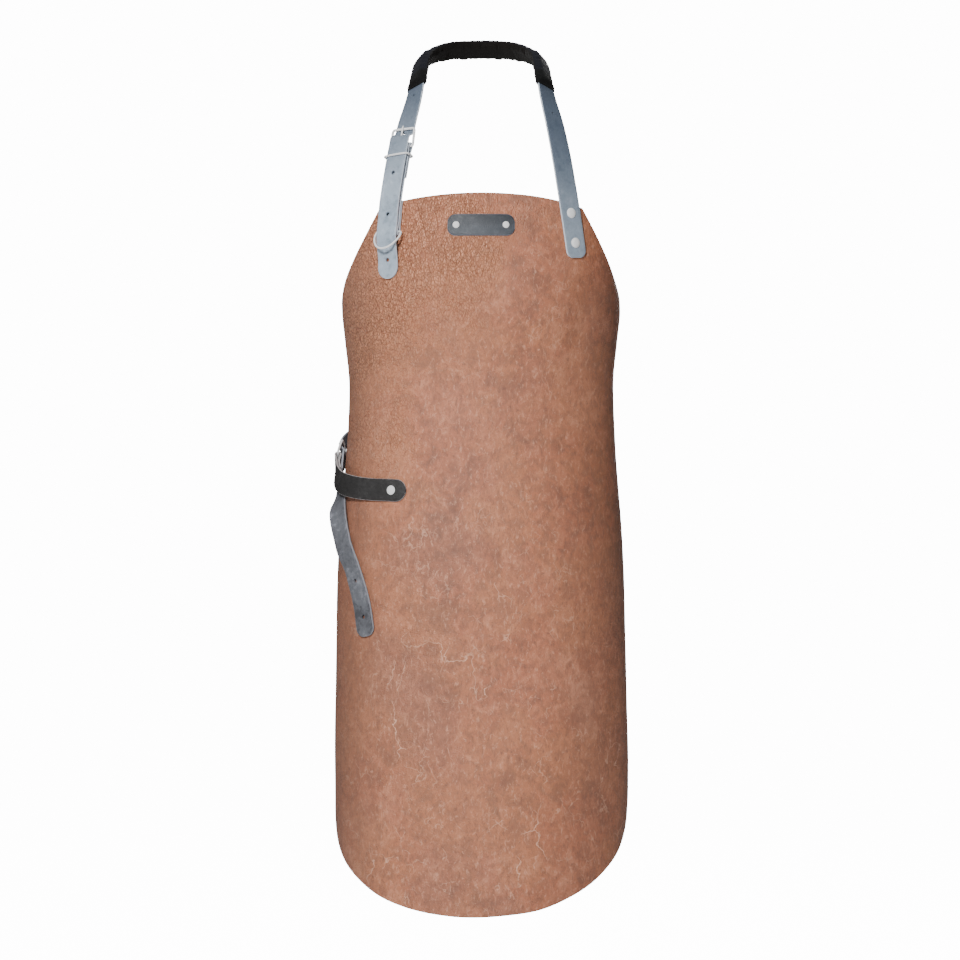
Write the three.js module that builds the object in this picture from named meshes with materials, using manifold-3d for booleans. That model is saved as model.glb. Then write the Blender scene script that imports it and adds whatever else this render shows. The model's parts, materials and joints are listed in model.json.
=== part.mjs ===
// A leather work apron as it is worn: bib and skirt in one hide, a padded neck strap that buckles at the
// left of the bib, a label patch, and a waist strap round the back that buckles under a tab at the left hip.
// Millimetres, +Z up, the front of the apron faces -Y and the wearer's right hand side is at -X.
// The origin is where the apron hangs: the middle of the inner face of the neck pad, at the back of the neck.

import * as THREE from 'three';
import { mergeVertices } from 'three/addons/utils/BufferGeometryUtils.js';
import Module from 'manifold-3d';

const wasm = await Module();
wasm.setup();

// The hide panel
const apronHeight = 798;         // from the middle of the bib's top edge to the lowest point of the hem
const hangDrop = 184;            // from the origin down to the middle of the bib's top edge
const hideThickness = 2;
const bibTopWidth = 242;         // along the hide, from corner to corner
const bibTopArch = 14;           // rise of the bib's top edge between its corners
const sideWidth = 530;           // along the hide, from one straight side edge to the other
const armholeDrop = 150;         // from the bib's corners down to the straight side edges
const armholeBow = 0.3;          // 0 is a straight cut, more bends it inwards
const hemRadius = 250;           // of the hem's round corners
const hemFlatAngle = 14;         // degrees of the corner's arc that the bottom of the hem takes over

// The wearer's shape that the hide hangs round
const hipWidth = 334;
const torsoDepth = 220;          // front to back
const neckToAxis = 65;           // from the origin forwards to the torso's middle

// The neck loop
const neckWidth = 132;
const neckDepth = 60;            // from the back of the neck forwards to its widest place

// Straps
const strapWidth = 25;
const strapThickness = 2.4;
const gap = 0.3;                 // between pieces that lie on each other
const strapHole = 4.6;           // across a punched hole
const strapAngle = 40;           // degrees round the torso, where the neck strap meets the bib's top edge
const strapAngleRight = 42.5;    // the same at the riveted end, lower down on the bib
const strapAngleLeft = 40.5;     // the same at the buckled tip
const rightEndBelow = 61;        // from the bib's top edge down to the end of the riveted strap
const rightEndCorner = 8;
const rightRivetBelow = 11;      // from the bib's top edge down to its upper rivet
const rightRivetSpacing = 33.5;
const tailBelow = 84.5;           // from the bib's top edge down to the tip of the buckled strap
const tailHoles = [21, 71, 117];  // from the tail's tip
const tailRise = 38;             // length in which the tail climbs over the ring
const tailLevel = 12;            // from the ring's bar to where the tail lies level
const strapSettle = 30;          // length in which the strap settles behind the buckle
const endRamp = 25;              // from where the right end starts to rise to the bib's top edge
const endFlat = 6;
const barClear = 3;              // length that the strap keeps its lift past a bar
const punchDepth = 14;

// The neck pad
const padHalfLength = 163;       // from the back of the neck to each cuff, along the strap
const padWidth = 30;
const padThickness = 8.4;
const padSlotGap = 0.4;

// Buckles, keeper and ring, all of bent wire
const buckleWire = 2.9;
const buckleLength = 20;         // from the heel bar to the far bar
const buckleWidth = 29.5;        // between the middles of the frame's two sides
const buckleRise = 2;            // how far the far bar stands above the heel bar
const prongWire = 2.2;
const prongPlay = 0.2;
const heelAbove = 65;            // from the bib's top edge up to the neck buckle's heel bar
const foldBack = 36;             // length of strap that is turned back round a bar
const tabFoldBack = 28;
const heelCorner = 2;            // corner radii of the buckle's wire
const farCorner = 3;
const keeperWire = 2.3;
const keeperBelow = 13;          // from the heel bar down to the wire keeper
const keeperPlay = 1.2;          // room beside the strap
const keeperSkew = 0.13;         // how far it stands askew, as a share of the way across
const keeperCorner = 3;
const ringWire = 2.3;
const ringWidth = 33;
const ringDrop = 20;
const ringTilt = 0.66;           // how far it stands off, as a share of its drop
const ringBelow = 32.5;           // from the bib's top edge down to the ring's straight bar
const foldRivetBelow = 24;       // from the heel bar down to the rivet that closes its fold
const leftRivetBelow = 5;        // from the bib's top edge down to the rivet through the bib

// Rivets
const strapRivetHead = 11.4;
const tabRivetHead = 10.2;
const labelRivetHead = 7.4;
const rivetDome = 1.8;           // height of a large head
const rivetRim = 0.5;            // height of a head's straight rim
const rivetShank = 3.4;
const rivetCap = 0.9;            // thickness of the cap at the back
const capGap = 1.0;              // from the curved inside of the hide to the cap

// The label patch
const labelWidth = 74;
const labelHeight = 24;
const labelThickness = 1.6;
const labelCorner = 8.8;
const labelBelow = 35.5;         // from the bib's top edge down to its middle
const labelRivetSpacing = 54.6;

// The side tab and the waist strap
const tabRivetInset = 18;        // from the tab's round end to its rivet
const tabHeelLift = 9;           // of the waist buckle's heel bar above the hide
const waistRivetInset = 14;      // from the waist strap's riveted end to its rivet
const waistHoles = [22, 64];     // from the tip of the waist strap's tail

const finish = {
  hide: { color: 0xb28068, roughness: 0.62, metalness: 0 },
  strap: { color: 0x8a929b, roughness: 0.55, metalness: 0 },
  tab: { color: 0x45444a, roughness: 0.55, metalness: 0 },
  label: { color: 0x6a7178, roughness: 0.6, metalness: 0 },
  pad: { color: 0x17161a, roughness: 0.7, metalness: 0 },
  nickel: { color: 0xd6d9de, roughness: 0.22, metalness: 1 },
};

const radians = THREE.MathUtils.degToRad;
const mix = THREE.MathUtils.lerp;
const smooth = THREE.MathUtils.smoothstep;

// The torso's sections: down is a share of apronHeight, wide of half the hipWidth, deep of half the
// torsoDepth, and turn is how many degrees the hide has slid round to the wearer's right
const torso = [
  { down: 0.00, wide: 0.900, deep: 0.93, turn: 0 },
  { down: 0.08, wide: 0.935, deep: 0.98, turn: 0 },
  { down: 0.15, wide: 0.952, deep: 1.00, turn: 0 },
  { down: 0.20, wide: 0.930, deep: 0.94, turn: 0 },
  { down: 0.26, wide: 0.901, deep: 0.88, turn: 0 },
  { down: 0.34, wide: 0.912, deep: 0.89, turn: 0 },
  { down: 0.41, wide: 0.940, deep: 0.93, turn: 0 },
  { down: 0.49, wide: 0.970, deep: 0.97, turn: 0 },
  { down: 0.60, wide: 0.985, deep: 0.99, turn: -1 },
  { down: 0.76, wide: 1.000, deep: 1.00, turn: -2 },
  { down: 0.90, wide: 0.997, deep: 0.99, turn: -3 },
  { down: 1.00, wide: 0.985, deep: 0.97, turn: -3 },
];
const torsoCurve = new THREE.CubicInterpolant(
  torso.map((row) => row.down),
  torso.flatMap((row) => [row.wide, row.deep, row.turn]),
  3,
);

function sectionAt(z) {
  const down = THREE.MathUtils.clamp((-z - hangDrop) / apronHeight, 0, 1);
  const [wide, deep, turn] = torsoCurve.evaluate(down);
  return { a: (wide * hipWidth) / 2, b: (deep * torsoDepth) / 2, turn };
}

// A point of the hide's outer face: angle in degrees round the torso, 0 in front and 90 at +X
function onTorso(angle, z) {
  const { a, b } = sectionAt(z);
  const t = radians(angle);
  return new THREE.Vector3(a * Math.sin(t), -neckToAxis - b * Math.cos(t), z);
}

function torsoNormal(angle, z) {
  const round = onTorso(angle + 0.5, z).sub(onTorso(angle - 0.5, z));
  const up = onTorso(angle, z + 1).sub(onTorso(angle, z - 1));
  return round.cross(up).normalize();
}

// The angle that lies a given length round the section from the front
function angleAtGirth(girth, z) {
  const { a, b } = sectionAt(z);
  let left = girth;
  let angle = 0;
  for (;;) {
    const t = radians(angle + 0.5);
    const step = Math.hypot(a * Math.cos(t), b * Math.sin(t)) * radians(1);
    if (step >= left) return angle + left / step;
    left -= step;
    angle += 1;
  }
}

// A closed body from rings of points with the same count; ends are capped unless it closes on itself
function skin(rings, closed = false) {
  const count = rings[0].length;
  const index = [];
  const last = closed ? rings.length : rings.length - 1;
  for (let i = 0; i < last; i += 1) {
    const here = i * count;
    const next = ((i + 1) % rings.length) * count;
    for (let j = 0; j < count; j += 1) {
      const k = (j + 1) % count;
      index.push(here + j, here + k, next + k, here + j, next + k, next + j);
    }
  }
  if (!closed) {
    const end = (rings.length - 1) * count;
    for (let j = 0; j < count / 2 - 1; j += 1) {
      const k = count - 1 - j;
      index.push(j, k, k - 1, j, k - 1, j + 1);
      index.push(end + j, end + j + 1, end + k - 1, end + j, end + k - 1, end + k);
    }
  }
  const points = rings.flat();
  let volume = 0;
  for (let i = 0; i < index.length; i += 3) {
    const [p, q, r] = [points[index[i]], points[index[i + 1]], points[index[i + 2]]];
    volume += p.dot(q.clone().cross(r));
  }
  if (volume < 0) index.reverse();
  const geometry = new THREE.BufferGeometry();
  geometry.setAttribute('position', new THREE.Float32BufferAttribute(points.flatMap((p) => p.toArray()), 3));
  geometry.setIndex(index);
  return geometry;
}

// Cutting and joining
function solid(geometry) {
  const bare = geometry.clone();
  bare.deleteAttribute('normal');
  bare.deleteAttribute('uv');
  const merged = mergeVertices(bare, 1e-4);
  return new wasm.Manifold(new wasm.Mesh({
    numProp: 3,
    vertProperties: new Float32Array(merged.attributes.position.array),
    triVerts: new Uint32Array(merged.index.array),
  }));
}

function toGeometry(body) {
  const { vertProperties, triVerts } = body.getMesh();
  const geometry = new THREE.BufferGeometry();
  geometry.setAttribute('position', new THREE.Float32BufferAttribute(vertProperties, 3));
  geometry.setIndex([...triVerts]);
  return geometry;
}

function cut(geometry, cutters) {
  let body = solid(geometry);
  for (const cutter of cutters) body = body.subtract(solid(cutter));
  return toGeometry(body);
}

// A line with a facing: a smooth curve through points, with a normal at every length along it
class Path {
  constructor(points, normals, steps = 10) {
    const curve = new THREE.CatmullRomCurve3(points, false, 'centripetal');
    const facing = new THREE.CatmullRomCurve3(normals, false, 'catmullrom', 0.5);
    const spans = points.length - 1;
    this.samples = [];
    let length = 0;
    for (let i = 0; i <= spans * steps; i += 1) {
      const u = i / (spans * steps);
      const point = curve.getPoint(u);
      if (i > 0) length += point.distanceTo(this.samples[i - 1].point);
      this.samples.push({ length, point, normal: facing.getPoint(u).normalize() });
    }
    this.length = length;
    this.knots = points.map((_, i) => this.samples[i * steps].length);
  }

  frame(length) {
    const near = this.samples;
    let i = 1;
    while (i < near.length - 1 && near[i].length < length) i += 1;
    const [p, q] = [near[i - 1], near[i]];
    const share = (length - p.length) / (q.length - p.length);
    const before = near[Math.max(i - 2, 0)].point;
    const after = near[Math.min(i + 1, near.length - 1)].point;
    const along = after.clone().sub(before).normalize();
    const normal = p.normal.clone().lerp(q.normal, share);
    normal.addScaledVector(along, -normal.dot(along)).normalize();
    const point = p.point.clone().addScaledVector(q.point.clone().sub(p.point), share);
    return { point, along, normal, across: along.clone().cross(normal) };
  }

  place(length, across, lift) {
    const { point, across: side, normal } = this.frame(length);
    return point.addScaledVector(side, across).addScaledVector(normal, lift);
  }

  // Stands a shape made round the Z axis at a place on the path, its Z along the normal
  stand(geometry, length, across = 0, lift = 0) {
    const { along, normal, across: side } = this.frame(length);
    const turn = new THREE.Matrix4().makeBasis(side, normal.clone().cross(side), normal);
    turn.setPosition(this.place(length, across, lift));
    return geometry.clone().applyMatrix4(turn);
  }
}

// Lengths from start to end, close together in round ends of the given radius
const endAngles = [14, 34, 56, 90];
function stations(start, end, spacing, roundStart = 0, roundEnd = 0) {
  const list = [];
  const inner = [start + roundStart, end - roundEnd];
  if (roundStart) {
    for (const angle of endAngles) {
      const half = roundStart * Math.sin(radians(angle));
      list.push({ at: start + roundStart * (1 - Math.cos(radians(angle))), trim: roundStart - half });
    }
  } else list.push({ at: start, trim: 0 });
  const count = Math.max(1, Math.round((inner[1] - inner[0]) / spacing));
  for (let i = 1; i < count; i += 1) list.push({ at: mix(inner[0], inner[1], i / count), trim: 0 });
  if (roundEnd) {
    for (const angle of [...endAngles].reverse()) {
      const half = roundEnd * Math.sin(radians(angle));
      list.push({ at: end - roundEnd * (1 - Math.cos(radians(angle))), trim: roundEnd - half });
    }
  } else list.push({ at: end, trim: 0 });
  return list;
}

// A strap of the given width: bottom(at) is the lift of its underside over the path
function strap(path, list, width, thickness, bottom) {
  const rings = list.map(({ at, trim }) => {
    const half = width / 2 - trim;
    const low = bottom(at);
    return [
      path.place(at, -half, low + thickness),
      path.place(at, half, low + thickness),
      path.place(at, half, low),
      path.place(at, -half, low),
    ];
  });
  return skin(rings);
}

// A value that follows rows of [place, value], smoothly
function profile(rows) {
  return (at) => {
    if (at <= rows[0][0]) return rows[0][1];
    for (let i = 1; i < rows.length; i += 1) {
      const [to, value] = rows[i];
      const [from, before] = rows[i - 1];
      if (at <= to) return mix(before, value, smooth(at, from, to));
    }
    return rows[rows.length - 1][1];
  };
}

// Bent wire along points of space
function wire(points, diameter, closed, steps, sides = 6) {
  const curve = new THREE.CatmullRomCurve3(points, closed, 'centripetal');
  const frames = curve.computeFrenetFrames(steps, closed);
  const rings = [];
  const count = closed ? steps : steps + 1;
  for (let i = 0; i < count; i += 1) {
    const centre = curve.getPointAt(i / steps);
    const ring = [];
    for (let j = 0; j < sides; j += 1) {
      const angle = (2 * Math.PI * j) / sides;
      ring.push(centre.clone()
        .addScaledVector(frames.normals[i], (Math.cos(angle) * diameter) / 2)
        .addScaledVector(frames.binormals[i], (Math.sin(angle) * diameter) / 2));
    }
    rings.push(ring);
  }
  return skin(rings, closed);
}

// A domed rivet round the Z axis: its head stands on z = 0 and its cap lies below the layers it holds
function rivet(head, dome, layers) {
  const reach = layers + capGap;
  const r = head / 2;
  const shank = rivetShank / 2;
  const capRadius = r * 0.8;
  const outline = [
    [0, -reach - rivetCap], [capRadius, -reach - rivetCap], [capRadius, -reach], [shank, -reach], [shank, 0],
    [r, 0], [r, rivetRim], [r * 0.82, dome * 0.72], [r * 0.48, dome * 0.94], [0, dome],
  ];
  const turned = new THREE.LatheGeometry(outline.map(([x, z]) => new THREE.Vector2(x, z)), 12);
  return turned.rotateX(Math.PI / 2);
}

// A punch for a round hole, long enough for the strap or hide it goes through
function punch(diameter, depth) {
  return new THREE.CylinderGeometry(diameter / 2, diameter / 2, depth, 12).rotateX(Math.PI / 2);
}

const shankHole = rivetShank + 2 * gap;

const apron = new THREE.Group();
function add(name, geometry, look) {
  const mesh = new THREE.Mesh(geometry, new THREE.MeshStandardMaterial(look));
  mesh.name = name;
  apron.add(mesh);
}

// The hide panel: rows from the bib's top edge down to the hem, each from edge to edge
const cornerZ = -hangDrop - bibTopArch;
const hemZ = -hangDrop - apronHeight;
const hemDip = hemRadius * (1 - Math.cos(radians(hemFlatAngle)));
const bibRows = 8;
const sideRows = 8;
const hemAngles = [78, 66, 56, 47, 39, 32, 25, 19, hemFlatAngle];
const rowEdges = [];
for (let i = 0; i <= bibRows; i += 1) {
  const u = i / bibRows;
  const out = (1 - armholeBow) * u + armholeBow * u * u;
  rowEdges.push({
    z: cornerZ - armholeDrop * u,
    girth: mix(bibTopWidth, sideWidth, out) / 2,
    dip: bibTopArch * (1 - u) ** 2,
  });
}
const sideEnd = hemZ + hemRadius;
for (let i = 1; i <= sideRows; i += 1) {
  rowEdges.push({ z: mix(cornerZ - armholeDrop, sideEnd, i / sideRows), girth: sideWidth / 2, dip: 0 });
}
for (const angle of hemAngles) {
  const rise = hemRadius * (1 - Math.cos(radians(angle)));
  rowEdges.push({
    z: hemZ + rise,
    girth: sideWidth / 2 - hemRadius * (1 - Math.sin(radians(angle))),
    dip: -hemDip * (1 - smooth(rise, hemDip, hemRadius / 2)),
  });
}

const columns = 22;
function panelRow({ z, girth, dip }) {
  const { turn } = sectionAt(z);
  const wrap = angleAtGirth(girth, z);
  const outer = [];
  const inner = [];
  for (let j = 0; j <= columns; j += 1) {
    const share = (2 * j) / columns - 1;
    const height = z + dip * (1 - share * share);
    const angle = turn + wrap * share;
    const face = onTorso(angle, height);
    outer.push(face);
    inner.push(face.clone().addScaledVector(torsoNormal(angle, height), -hideThickness));
  }
  return [...outer, ...inner.reverse()];
}
const panelBlank = skin(rowEdges.map(panelRow));

// The neck strap's line. Its back rows are shares of neckWidth / 2, neckDepth and hangDrop; its front rows
// are shares of the way from the last of them to the bib. face is the strap's outer side in degrees from
// the back round to the front, up is how far that side looks upwards.
const neckBack = [
  { out: 0.00, fore: 0.00, fall: 0.000, face: 0, up: 52 },
  { out: 0.33, fore: 0.05, fall: 0.004, face: 20, up: 52 },
  { out: 0.64, fore: 0.22, fall: 0.024, face: 46, up: 50 },
  { out: 0.89, fore: 0.56, fall: 0.075, face: 72, up: 47 },
  { out: 1.00, fore: 1.00, fall: 0.125, face: 97, up: 42 },
];
const neckFront = [
  { out: 0.14, fore: 0.46, fall: 0.16, face: 121, up: 33 },
  { out: 0.27, fore: 0.63, fall: 0.29, face: 134, up: 25 },
  { out: 0.50, fore: 0.80, fall: 0.47, face: 144, up: 15 },
  { out: 0.76, fore: 0.94, fall: 0.72, face: 149, up: 6 },
];
const padWall = (padThickness - strapThickness) / 2;
const bibCorner = angleAtGirth(bibTopWidth / 2, -hangDrop - bibTopArch);
const bibEdgeZ = -hangDrop - bibTopArch * (strapAngle / bibCorner) ** 2;
const bibStart = onTorso(strapAngle, bibEdgeZ);

function facing({ face, up }) {
  const [f, u] = [radians(face), radians(up)];
  return new THREE.Vector3(Math.sin(f) * Math.cos(u), Math.cos(f) * Math.cos(u), Math.sin(u));
}

function halfNeckLine(lowAngle) {
  const line = neckBack.map((row) => ({
    point: new THREE.Vector3((row.out * neckWidth) / 2, padWall - row.fore * neckDepth, -row.fall * hangDrop),
    normal: facing(row),
  }));
  const shoulder = line[line.length - 1].point;
  for (const row of neckFront) {
    line.push({
      point: new THREE.Vector3(
        mix(shoulder.x, bibStart.x, row.out),
        mix(shoulder.y, bibStart.y, row.fore),
        mix(shoulder.z, bibStart.z, row.fall),
      ),
      normal: facing(row),
    });
  }
  for (let i = 0; i <= 6; i += 1) {
    const z = bibEdgeZ - (i / 6) * (tailBelow + 4);
    const angle = mix(strapAngle, lowAngle, Math.min(1, (i / 6) * 1.4));
    line.push({ point: onTorso(angle, z), normal: torsoNormal(angle, z) });
  }
  return line;
}

const rightLine = halfNeckLine(strapAngleRight);
const edgeKnot = neckBack.length + neckFront.length;
const leftLine = halfNeckLine(strapAngleLeft).slice(1).reverse().map(({ point, normal }) => ({
  point: point.clone().multiply(new THREE.Vector3(-1, 1, 1)),
  normal: normal.clone().multiply(new THREE.Vector3(-1, 1, 1)),
}));
const wholeLine = [...leftLine, ...rightLine];
const neck = new Path(wholeLine.map((p) => p.point), wholeLine.map((p) => p.normal));
const middle = neck.knots[leftLine.length];
const edgeReach = neck.knots[leftLine.length + edgeKnot] - middle;

// Lengths on the neck line: left is at the wearer's right, where the buckle is
const left = (below) => middle - edgeReach - below;
const right = (below) => middle + edgeReach + below;
const heel = left(-heelAbove);
const ringBar = left(ringBelow);

// The buckle strap lies folded round the heel bar above and the ring's bar below. foldMid is the lift of
// the plane between its two layers.
const foldOuter = (bar) => bar / 2 + gap + strapThickness;
const flatMid = gap + strapThickness + gap / 2;
const ringMid = gap + foldOuter(ringWire);
const foldMid = profile([[ringBar + 2, ringMid], [ringBar + 16, flatMid], [heel, flatMid]]);

// A strap folded round one bar, or round two: from its first free end along the lower layer to the first
// bar, round it, back along the upper layer to the other bar or free end. away is the side of the bar
// that the fold goes round, as a sign along the path.
function folded(path, bars, mid, freeEnds, roundEnd = 0) {
  const rings = [];
  const spread = 11;
  const bendSteps = 7;
  const push = (at, side, distance, tilt = 0, trim = 0) => {
    const half = strapWidth / 2 - trim;
    const place = (across, r) => path.place(at - side * r * Math.sin(tilt), across, mid(at) + side * r * Math.cos(tilt));
    const [near, far] = [distance, distance + strapThickness];
    rings.push([place(-half, far), place(half, far), place(half, near), place(-half, near)]);
  };
  const flat = (list, side) => {
    for (const { at, trim } of list) {
      const bar = bars.reduce((p, q) => (Math.abs(q.at - at) < Math.abs(p.at - at) ? q : p));
      const open = mix(bar.wire / 2 + gap, gap / 2, smooth(Math.abs(bar.at - at), 0, spread));
      push(at, side, open, 0, trim);
    }
  };
  const bend = (bar, side) => {
    for (let i = 1; i < bendSteps; i += 1) {
      push(bar.at, side, bar.wire / 2 + gap, (-bar.away * side * Math.PI * i) / bendSteps);
    }
  };
  const run = (from, to, round = 0) => {
    const list = stations(Math.min(from, to), Math.max(from, to), 6, round, 0);
    return from < to ? list : list.reverse();
  };
  const [first, second] = bars;
  flat(run(freeEnds[0], first.at), -1);
  bend(first, -1);
  if (second) {
    flat(run(first.at, second.at), 1);
    bend(second, 1);
    flat(run(second.at, freeEnds[1]), -1);
  } else flat(run(first.at, freeEnds[1], roundEnd), 1);
  return skin(rings);
}

// A wire buckle on a path: the heel bar at its length, the far bar buckleLength further on. side is +1
// where the strap goes over the heel bar on the outside, and -1 where it goes between the bar and the hide.
const prongRing = buckleWire / 2 + prongPlay + prongWire / 2;
const prongTop = buckleRise + buckleWire / 2 + gap / 2 + prongWire / 2;

function buckleFrame(path, at, lift, side) {
  const points = [];
  const halfWide = buckleWidth / 2;
  const place = (x, across) => {
    points.push(path.place(at + x, across, lift + (side * buckleRise * x) / buckleLength));
  };
  for (const [x, across, turn] of [
    [0, halfWide, 0], [buckleLength, halfWide, 90], [buckleLength, -halfWide, 180], [0, -halfWide, 270],
  ]) {
    const corner = x === 0 ? heelCorner : farCorner;
    const centreX = x === 0 ? corner : x - corner;
    const centreAcross = across > 0 ? across - corner : across + corner;
    for (const step of [0, 30, 60, 90]) {
      const angle = radians(turn + step);
      place(centreX - corner * Math.cos(angle), centreAcross + corner * Math.sin(angle));
    }
    if (turn === 0 || turn === 180) place(buckleLength / 2, across);
    else for (const share of [0.5, 0, -0.5]) place(x, Math.sign(across) * halfWide * share);
  }
  return wire(points, buckleWire, true, 40);
}

function prongLine(path, at, lift, side) {
  const points = [];
  for (const angle of [-250, -215, -180, -145, -110, -75, -40, -12]) {
    const [x, rise] = [prongRing * Math.sin(radians(angle)), prongRing * Math.cos(radians(angle))];
    points.push(path.place(at + x, 0, lift + side * rise));
  }
  for (const share of [0.3, 0.6, 0.85, 1]) {
    points.push(path.place(at + buckleLength * share, 0, lift + side * mix(prongRing, prongTop, share)));
  }
  points.push(path.place(at + buckleLength + 3, 0, lift + side * (prongTop - 0.3)));
  return points;
}

const prongOf = (path, at, lift, side, extra = 0) => (
  wire(prongLine(path, at, lift, side), prongWire + extra, false, 34)
);

// The slot that a fold has for the prong's ring
function prongSlot(path, at, lift) {
  const reach = foldOuter(buckleWire) + 1;
  const inward = prongRing + prongWire / 2 + 2 * gap;
  const box = new THREE.BoxGeometry(prongWire + 4 * gap, reach + inward, 2 * reach);
  return path.stand(box, at + (reach - inward) / 2, 0, lift);
}

// Buckle strap, neck buckle, keeper and ring
const headSeat = flatMid + gap / 2 + strapThickness + gap;
const foldedDepth = headSeat - flatMid + gap / 2 + strapThickness;
const foldRivetAt = heel - foldRivetBelow;
const leftRivetAt = left(leftRivetBelow);
const buckleStrapBlank = folded(
  neck,
  [{ at: heel, away: 1, wire: buckleWire }, { at: ringBar, away: -1, wire: ringWire }],
  foldMid,
  [heel - foldBack, ringBar + foldBack],
);
add('buckle_strap', cut(buckleStrapBlank, [
  prongSlot(neck, heel, flatMid),
  neck.stand(punch(shankHole, punchDepth), foldRivetAt, 0, flatMid),
  neck.stand(punch(shankHole, punchDepth), leftRivetAt, 0, flatMid),
]), finish.strap);
add('neck_buckle', buckleFrame(neck, heel, flatMid, 1), finish.nickel);
add('neck_buckle_prong', prongOf(neck, heel, flatMid, 1), finish.nickel);
add('strap_rivet_left_upper',
  neck.stand(rivet(strapRivetHead, rivetDome, foldedDepth), foldRivetAt, 0, headSeat), finish.nickel);
add('strap_rivet_left_lower',
  neck.stand(rivet(strapRivetHead, rivetDome, headSeat + hideThickness), leftRivetAt, 0, headSeat),
  finish.nickel);

// The neck strap: from its tip at the left, through the buckle and the pad, to its riveted end at the right
const tailLift = headSeat + rivetDome + gap;
const overRing = ringMid + foldOuter(ringWire) + gap;
const underBar = flatMid + buckleRise - buckleWire / 2 - gap - strapThickness;
const neckLift = profile([
  [ringBar - tailRise, 2 * gap],
  [ringBar - barClear, overRing],
  [ringBar + tailLevel, tailLift],
  [heel, tailLift],
  [heel + buckleLength * 0.4, tailLift + 0.4],
  [heel + buckleLength * 0.8, underBar],
  [heel + buckleLength + barClear, underBar],
  [heel + buckleLength + strapSettle, 0],
  [right(-endRamp), 0],
  [right(-endFlat), gap],
]);
const tip = left(tailBelow);
const strapEnd = right(rightEndBelow);
const rightRivets = [right(rightRivetBelow), right(rightRivetBelow + rightRivetSpacing)];
const neckStrapBlank = strap(
  neck,
  stations(tip, strapEnd, 8.5, strapWidth / 2, rightEndCorner),
  strapWidth,
  strapThickness,
  neckLift,
);
const neckPunches = tailHoles.map((below) => {
  const at = tip + below;
  return neck.stand(punch(strapHole, punchDepth), at, 0, neckLift(at) + strapThickness / 2);
});
for (const at of rightRivets) neckPunches.push(neck.stand(punch(shankHole, punchDepth), at, 0, gap));
neckPunches.push(prongOf(neck, heel, flatMid, 1, 2 * gap));
add('neck_strap', cut(neckStrapBlank, neckPunches), finish.strap);
rightRivets.forEach((at, i) => {
  const seat = 2 * gap + strapThickness;
  const name = i === 0 ? 'strap_rivet_right_upper' : 'strap_rivet_right_lower';
  add(name, neck.stand(rivet(strapRivetHead, rivetDome, seat + hideThickness), at, 0, seat), finish.nickel);
});

// The keeper stands a little askew, its wearer's left side higher
function keeperLoop() {
  const at = heel - keeperBelow;
  const halfWide = strapWidth / 2 + gap + keeperWire / 2 + keeperPlay;
  const low = flatMid - gap / 2 - strapThickness - gap - keeperWire / 2;
  const high = tailLift + strapThickness + gap + keeperWire / 2;
  const points = [];
  const place = (across, lift) => points.push(neck.place(at + across * keeperSkew, across, lift));
  for (const [sx, top] of [[1, 0], [1, 1], [-1, 1], [-1, 0]]) {
    const lift = top ? high : low;
    const inward = top ? -keeperCorner : keeperCorner;
    const around = [
      [sx * (halfWide - keeperCorner), lift],
      [sx * (halfWide - keeperCorner * 0.3), lift + inward * 0.3],
      [sx * halfWide, lift + inward],
    ];
    if ((sx === 1) === (top === 1)) around.reverse();
    for (const [across, l] of around) place(across, l);
  }
  return wire(points, keeperWire, true, 36);
}
add('strap_keeper', keeperLoop(), finish.nickel);

function ringLoop() {
  const points = [];
  const halfWide = ringWidth / 2;
  for (const share of [-0.9, -0.45, 0, 0.45, 0.9]) points.push(neck.place(ringBar, halfWide * share, ringMid));
  for (let angle = 15; angle <= 165; angle += 25) {
    const drop = ringDrop * Math.sin(radians(angle));
    points.push(neck.place(ringBar - drop, halfWide * Math.cos(radians(angle)), ringMid + ringTilt * drop));
  }
  return wire(points, ringWire, true, 40);
}
add('d_ring', ringLoop(), finish.nickel);

// The neck pad is a sleeve round the neck strap
const padRange = stations(middle - padHalfLength, middle + padHalfLength, 9);
const padRings = padRange.map(({ at }) => {
  const half = padWidth / 2;
  const edge = padThickness * 0.3;
  const [low, high] = [-padWall, strapThickness + padWall];
  const outline = [
    [-half + edge, high], [half - edge, high], [half, high - edge], [half, low + edge],
    [half - edge, low], [-half + edge, low], [-half, low + edge], [-half, high - edge],
  ];
  return outline.map(([across, lift]) => neck.place(at, across, lift));
});
const slotRange = stations(middle - padHalfLength - 3, middle + padHalfLength + 3, 9);
const padSlot = strap(neck, slotRange, strapWidth + 2 * padSlotGap, strapThickness + 2 * padSlotGap,
  (at) => neckLift(at) - padSlotGap);
add('neck_pad', cut(skin(padRings), [padSlot]), finish.pad);

// The label patch lies on the bib along a level line
const labelZ = -hangDrop - labelBelow;
const labelAngles = [-24, -18, -12, -6, 0, 6, 12, 18, 24];
const level = new Path(
  labelAngles.map((angle) => onTorso(angle, labelZ)),
  labelAngles.map((angle) => torsoNormal(angle, labelZ)),
);
const labelMiddle = level.knots[4];
const labelRivets = [labelMiddle - labelRivetSpacing / 2, labelMiddle + labelRivetSpacing / 2];
const labelHoles = labelRivets.map((at) => level.stand(punch(shankHole, punchDepth), at));
const labelBlank = strap(
  level,
  stations(labelMiddle - labelWidth / 2, labelMiddle + labelWidth / 2, 7, labelCorner, labelCorner),
  labelHeight,
  labelThickness,
  () => gap,
);
add('label_patch', cut(labelBlank, labelHoles), finish.label);
labelRivets.forEach((at, i) => {
  const seat = 2 * gap + labelThickness;
  add(i === 0 ? 'label_rivet_left' : 'label_rivet_right',
    level.stand(rivet(labelRivetHead, rivetDome * 0.7, seat + hideThickness), at, 0, seat),
    finish.nickel);
});

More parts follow.
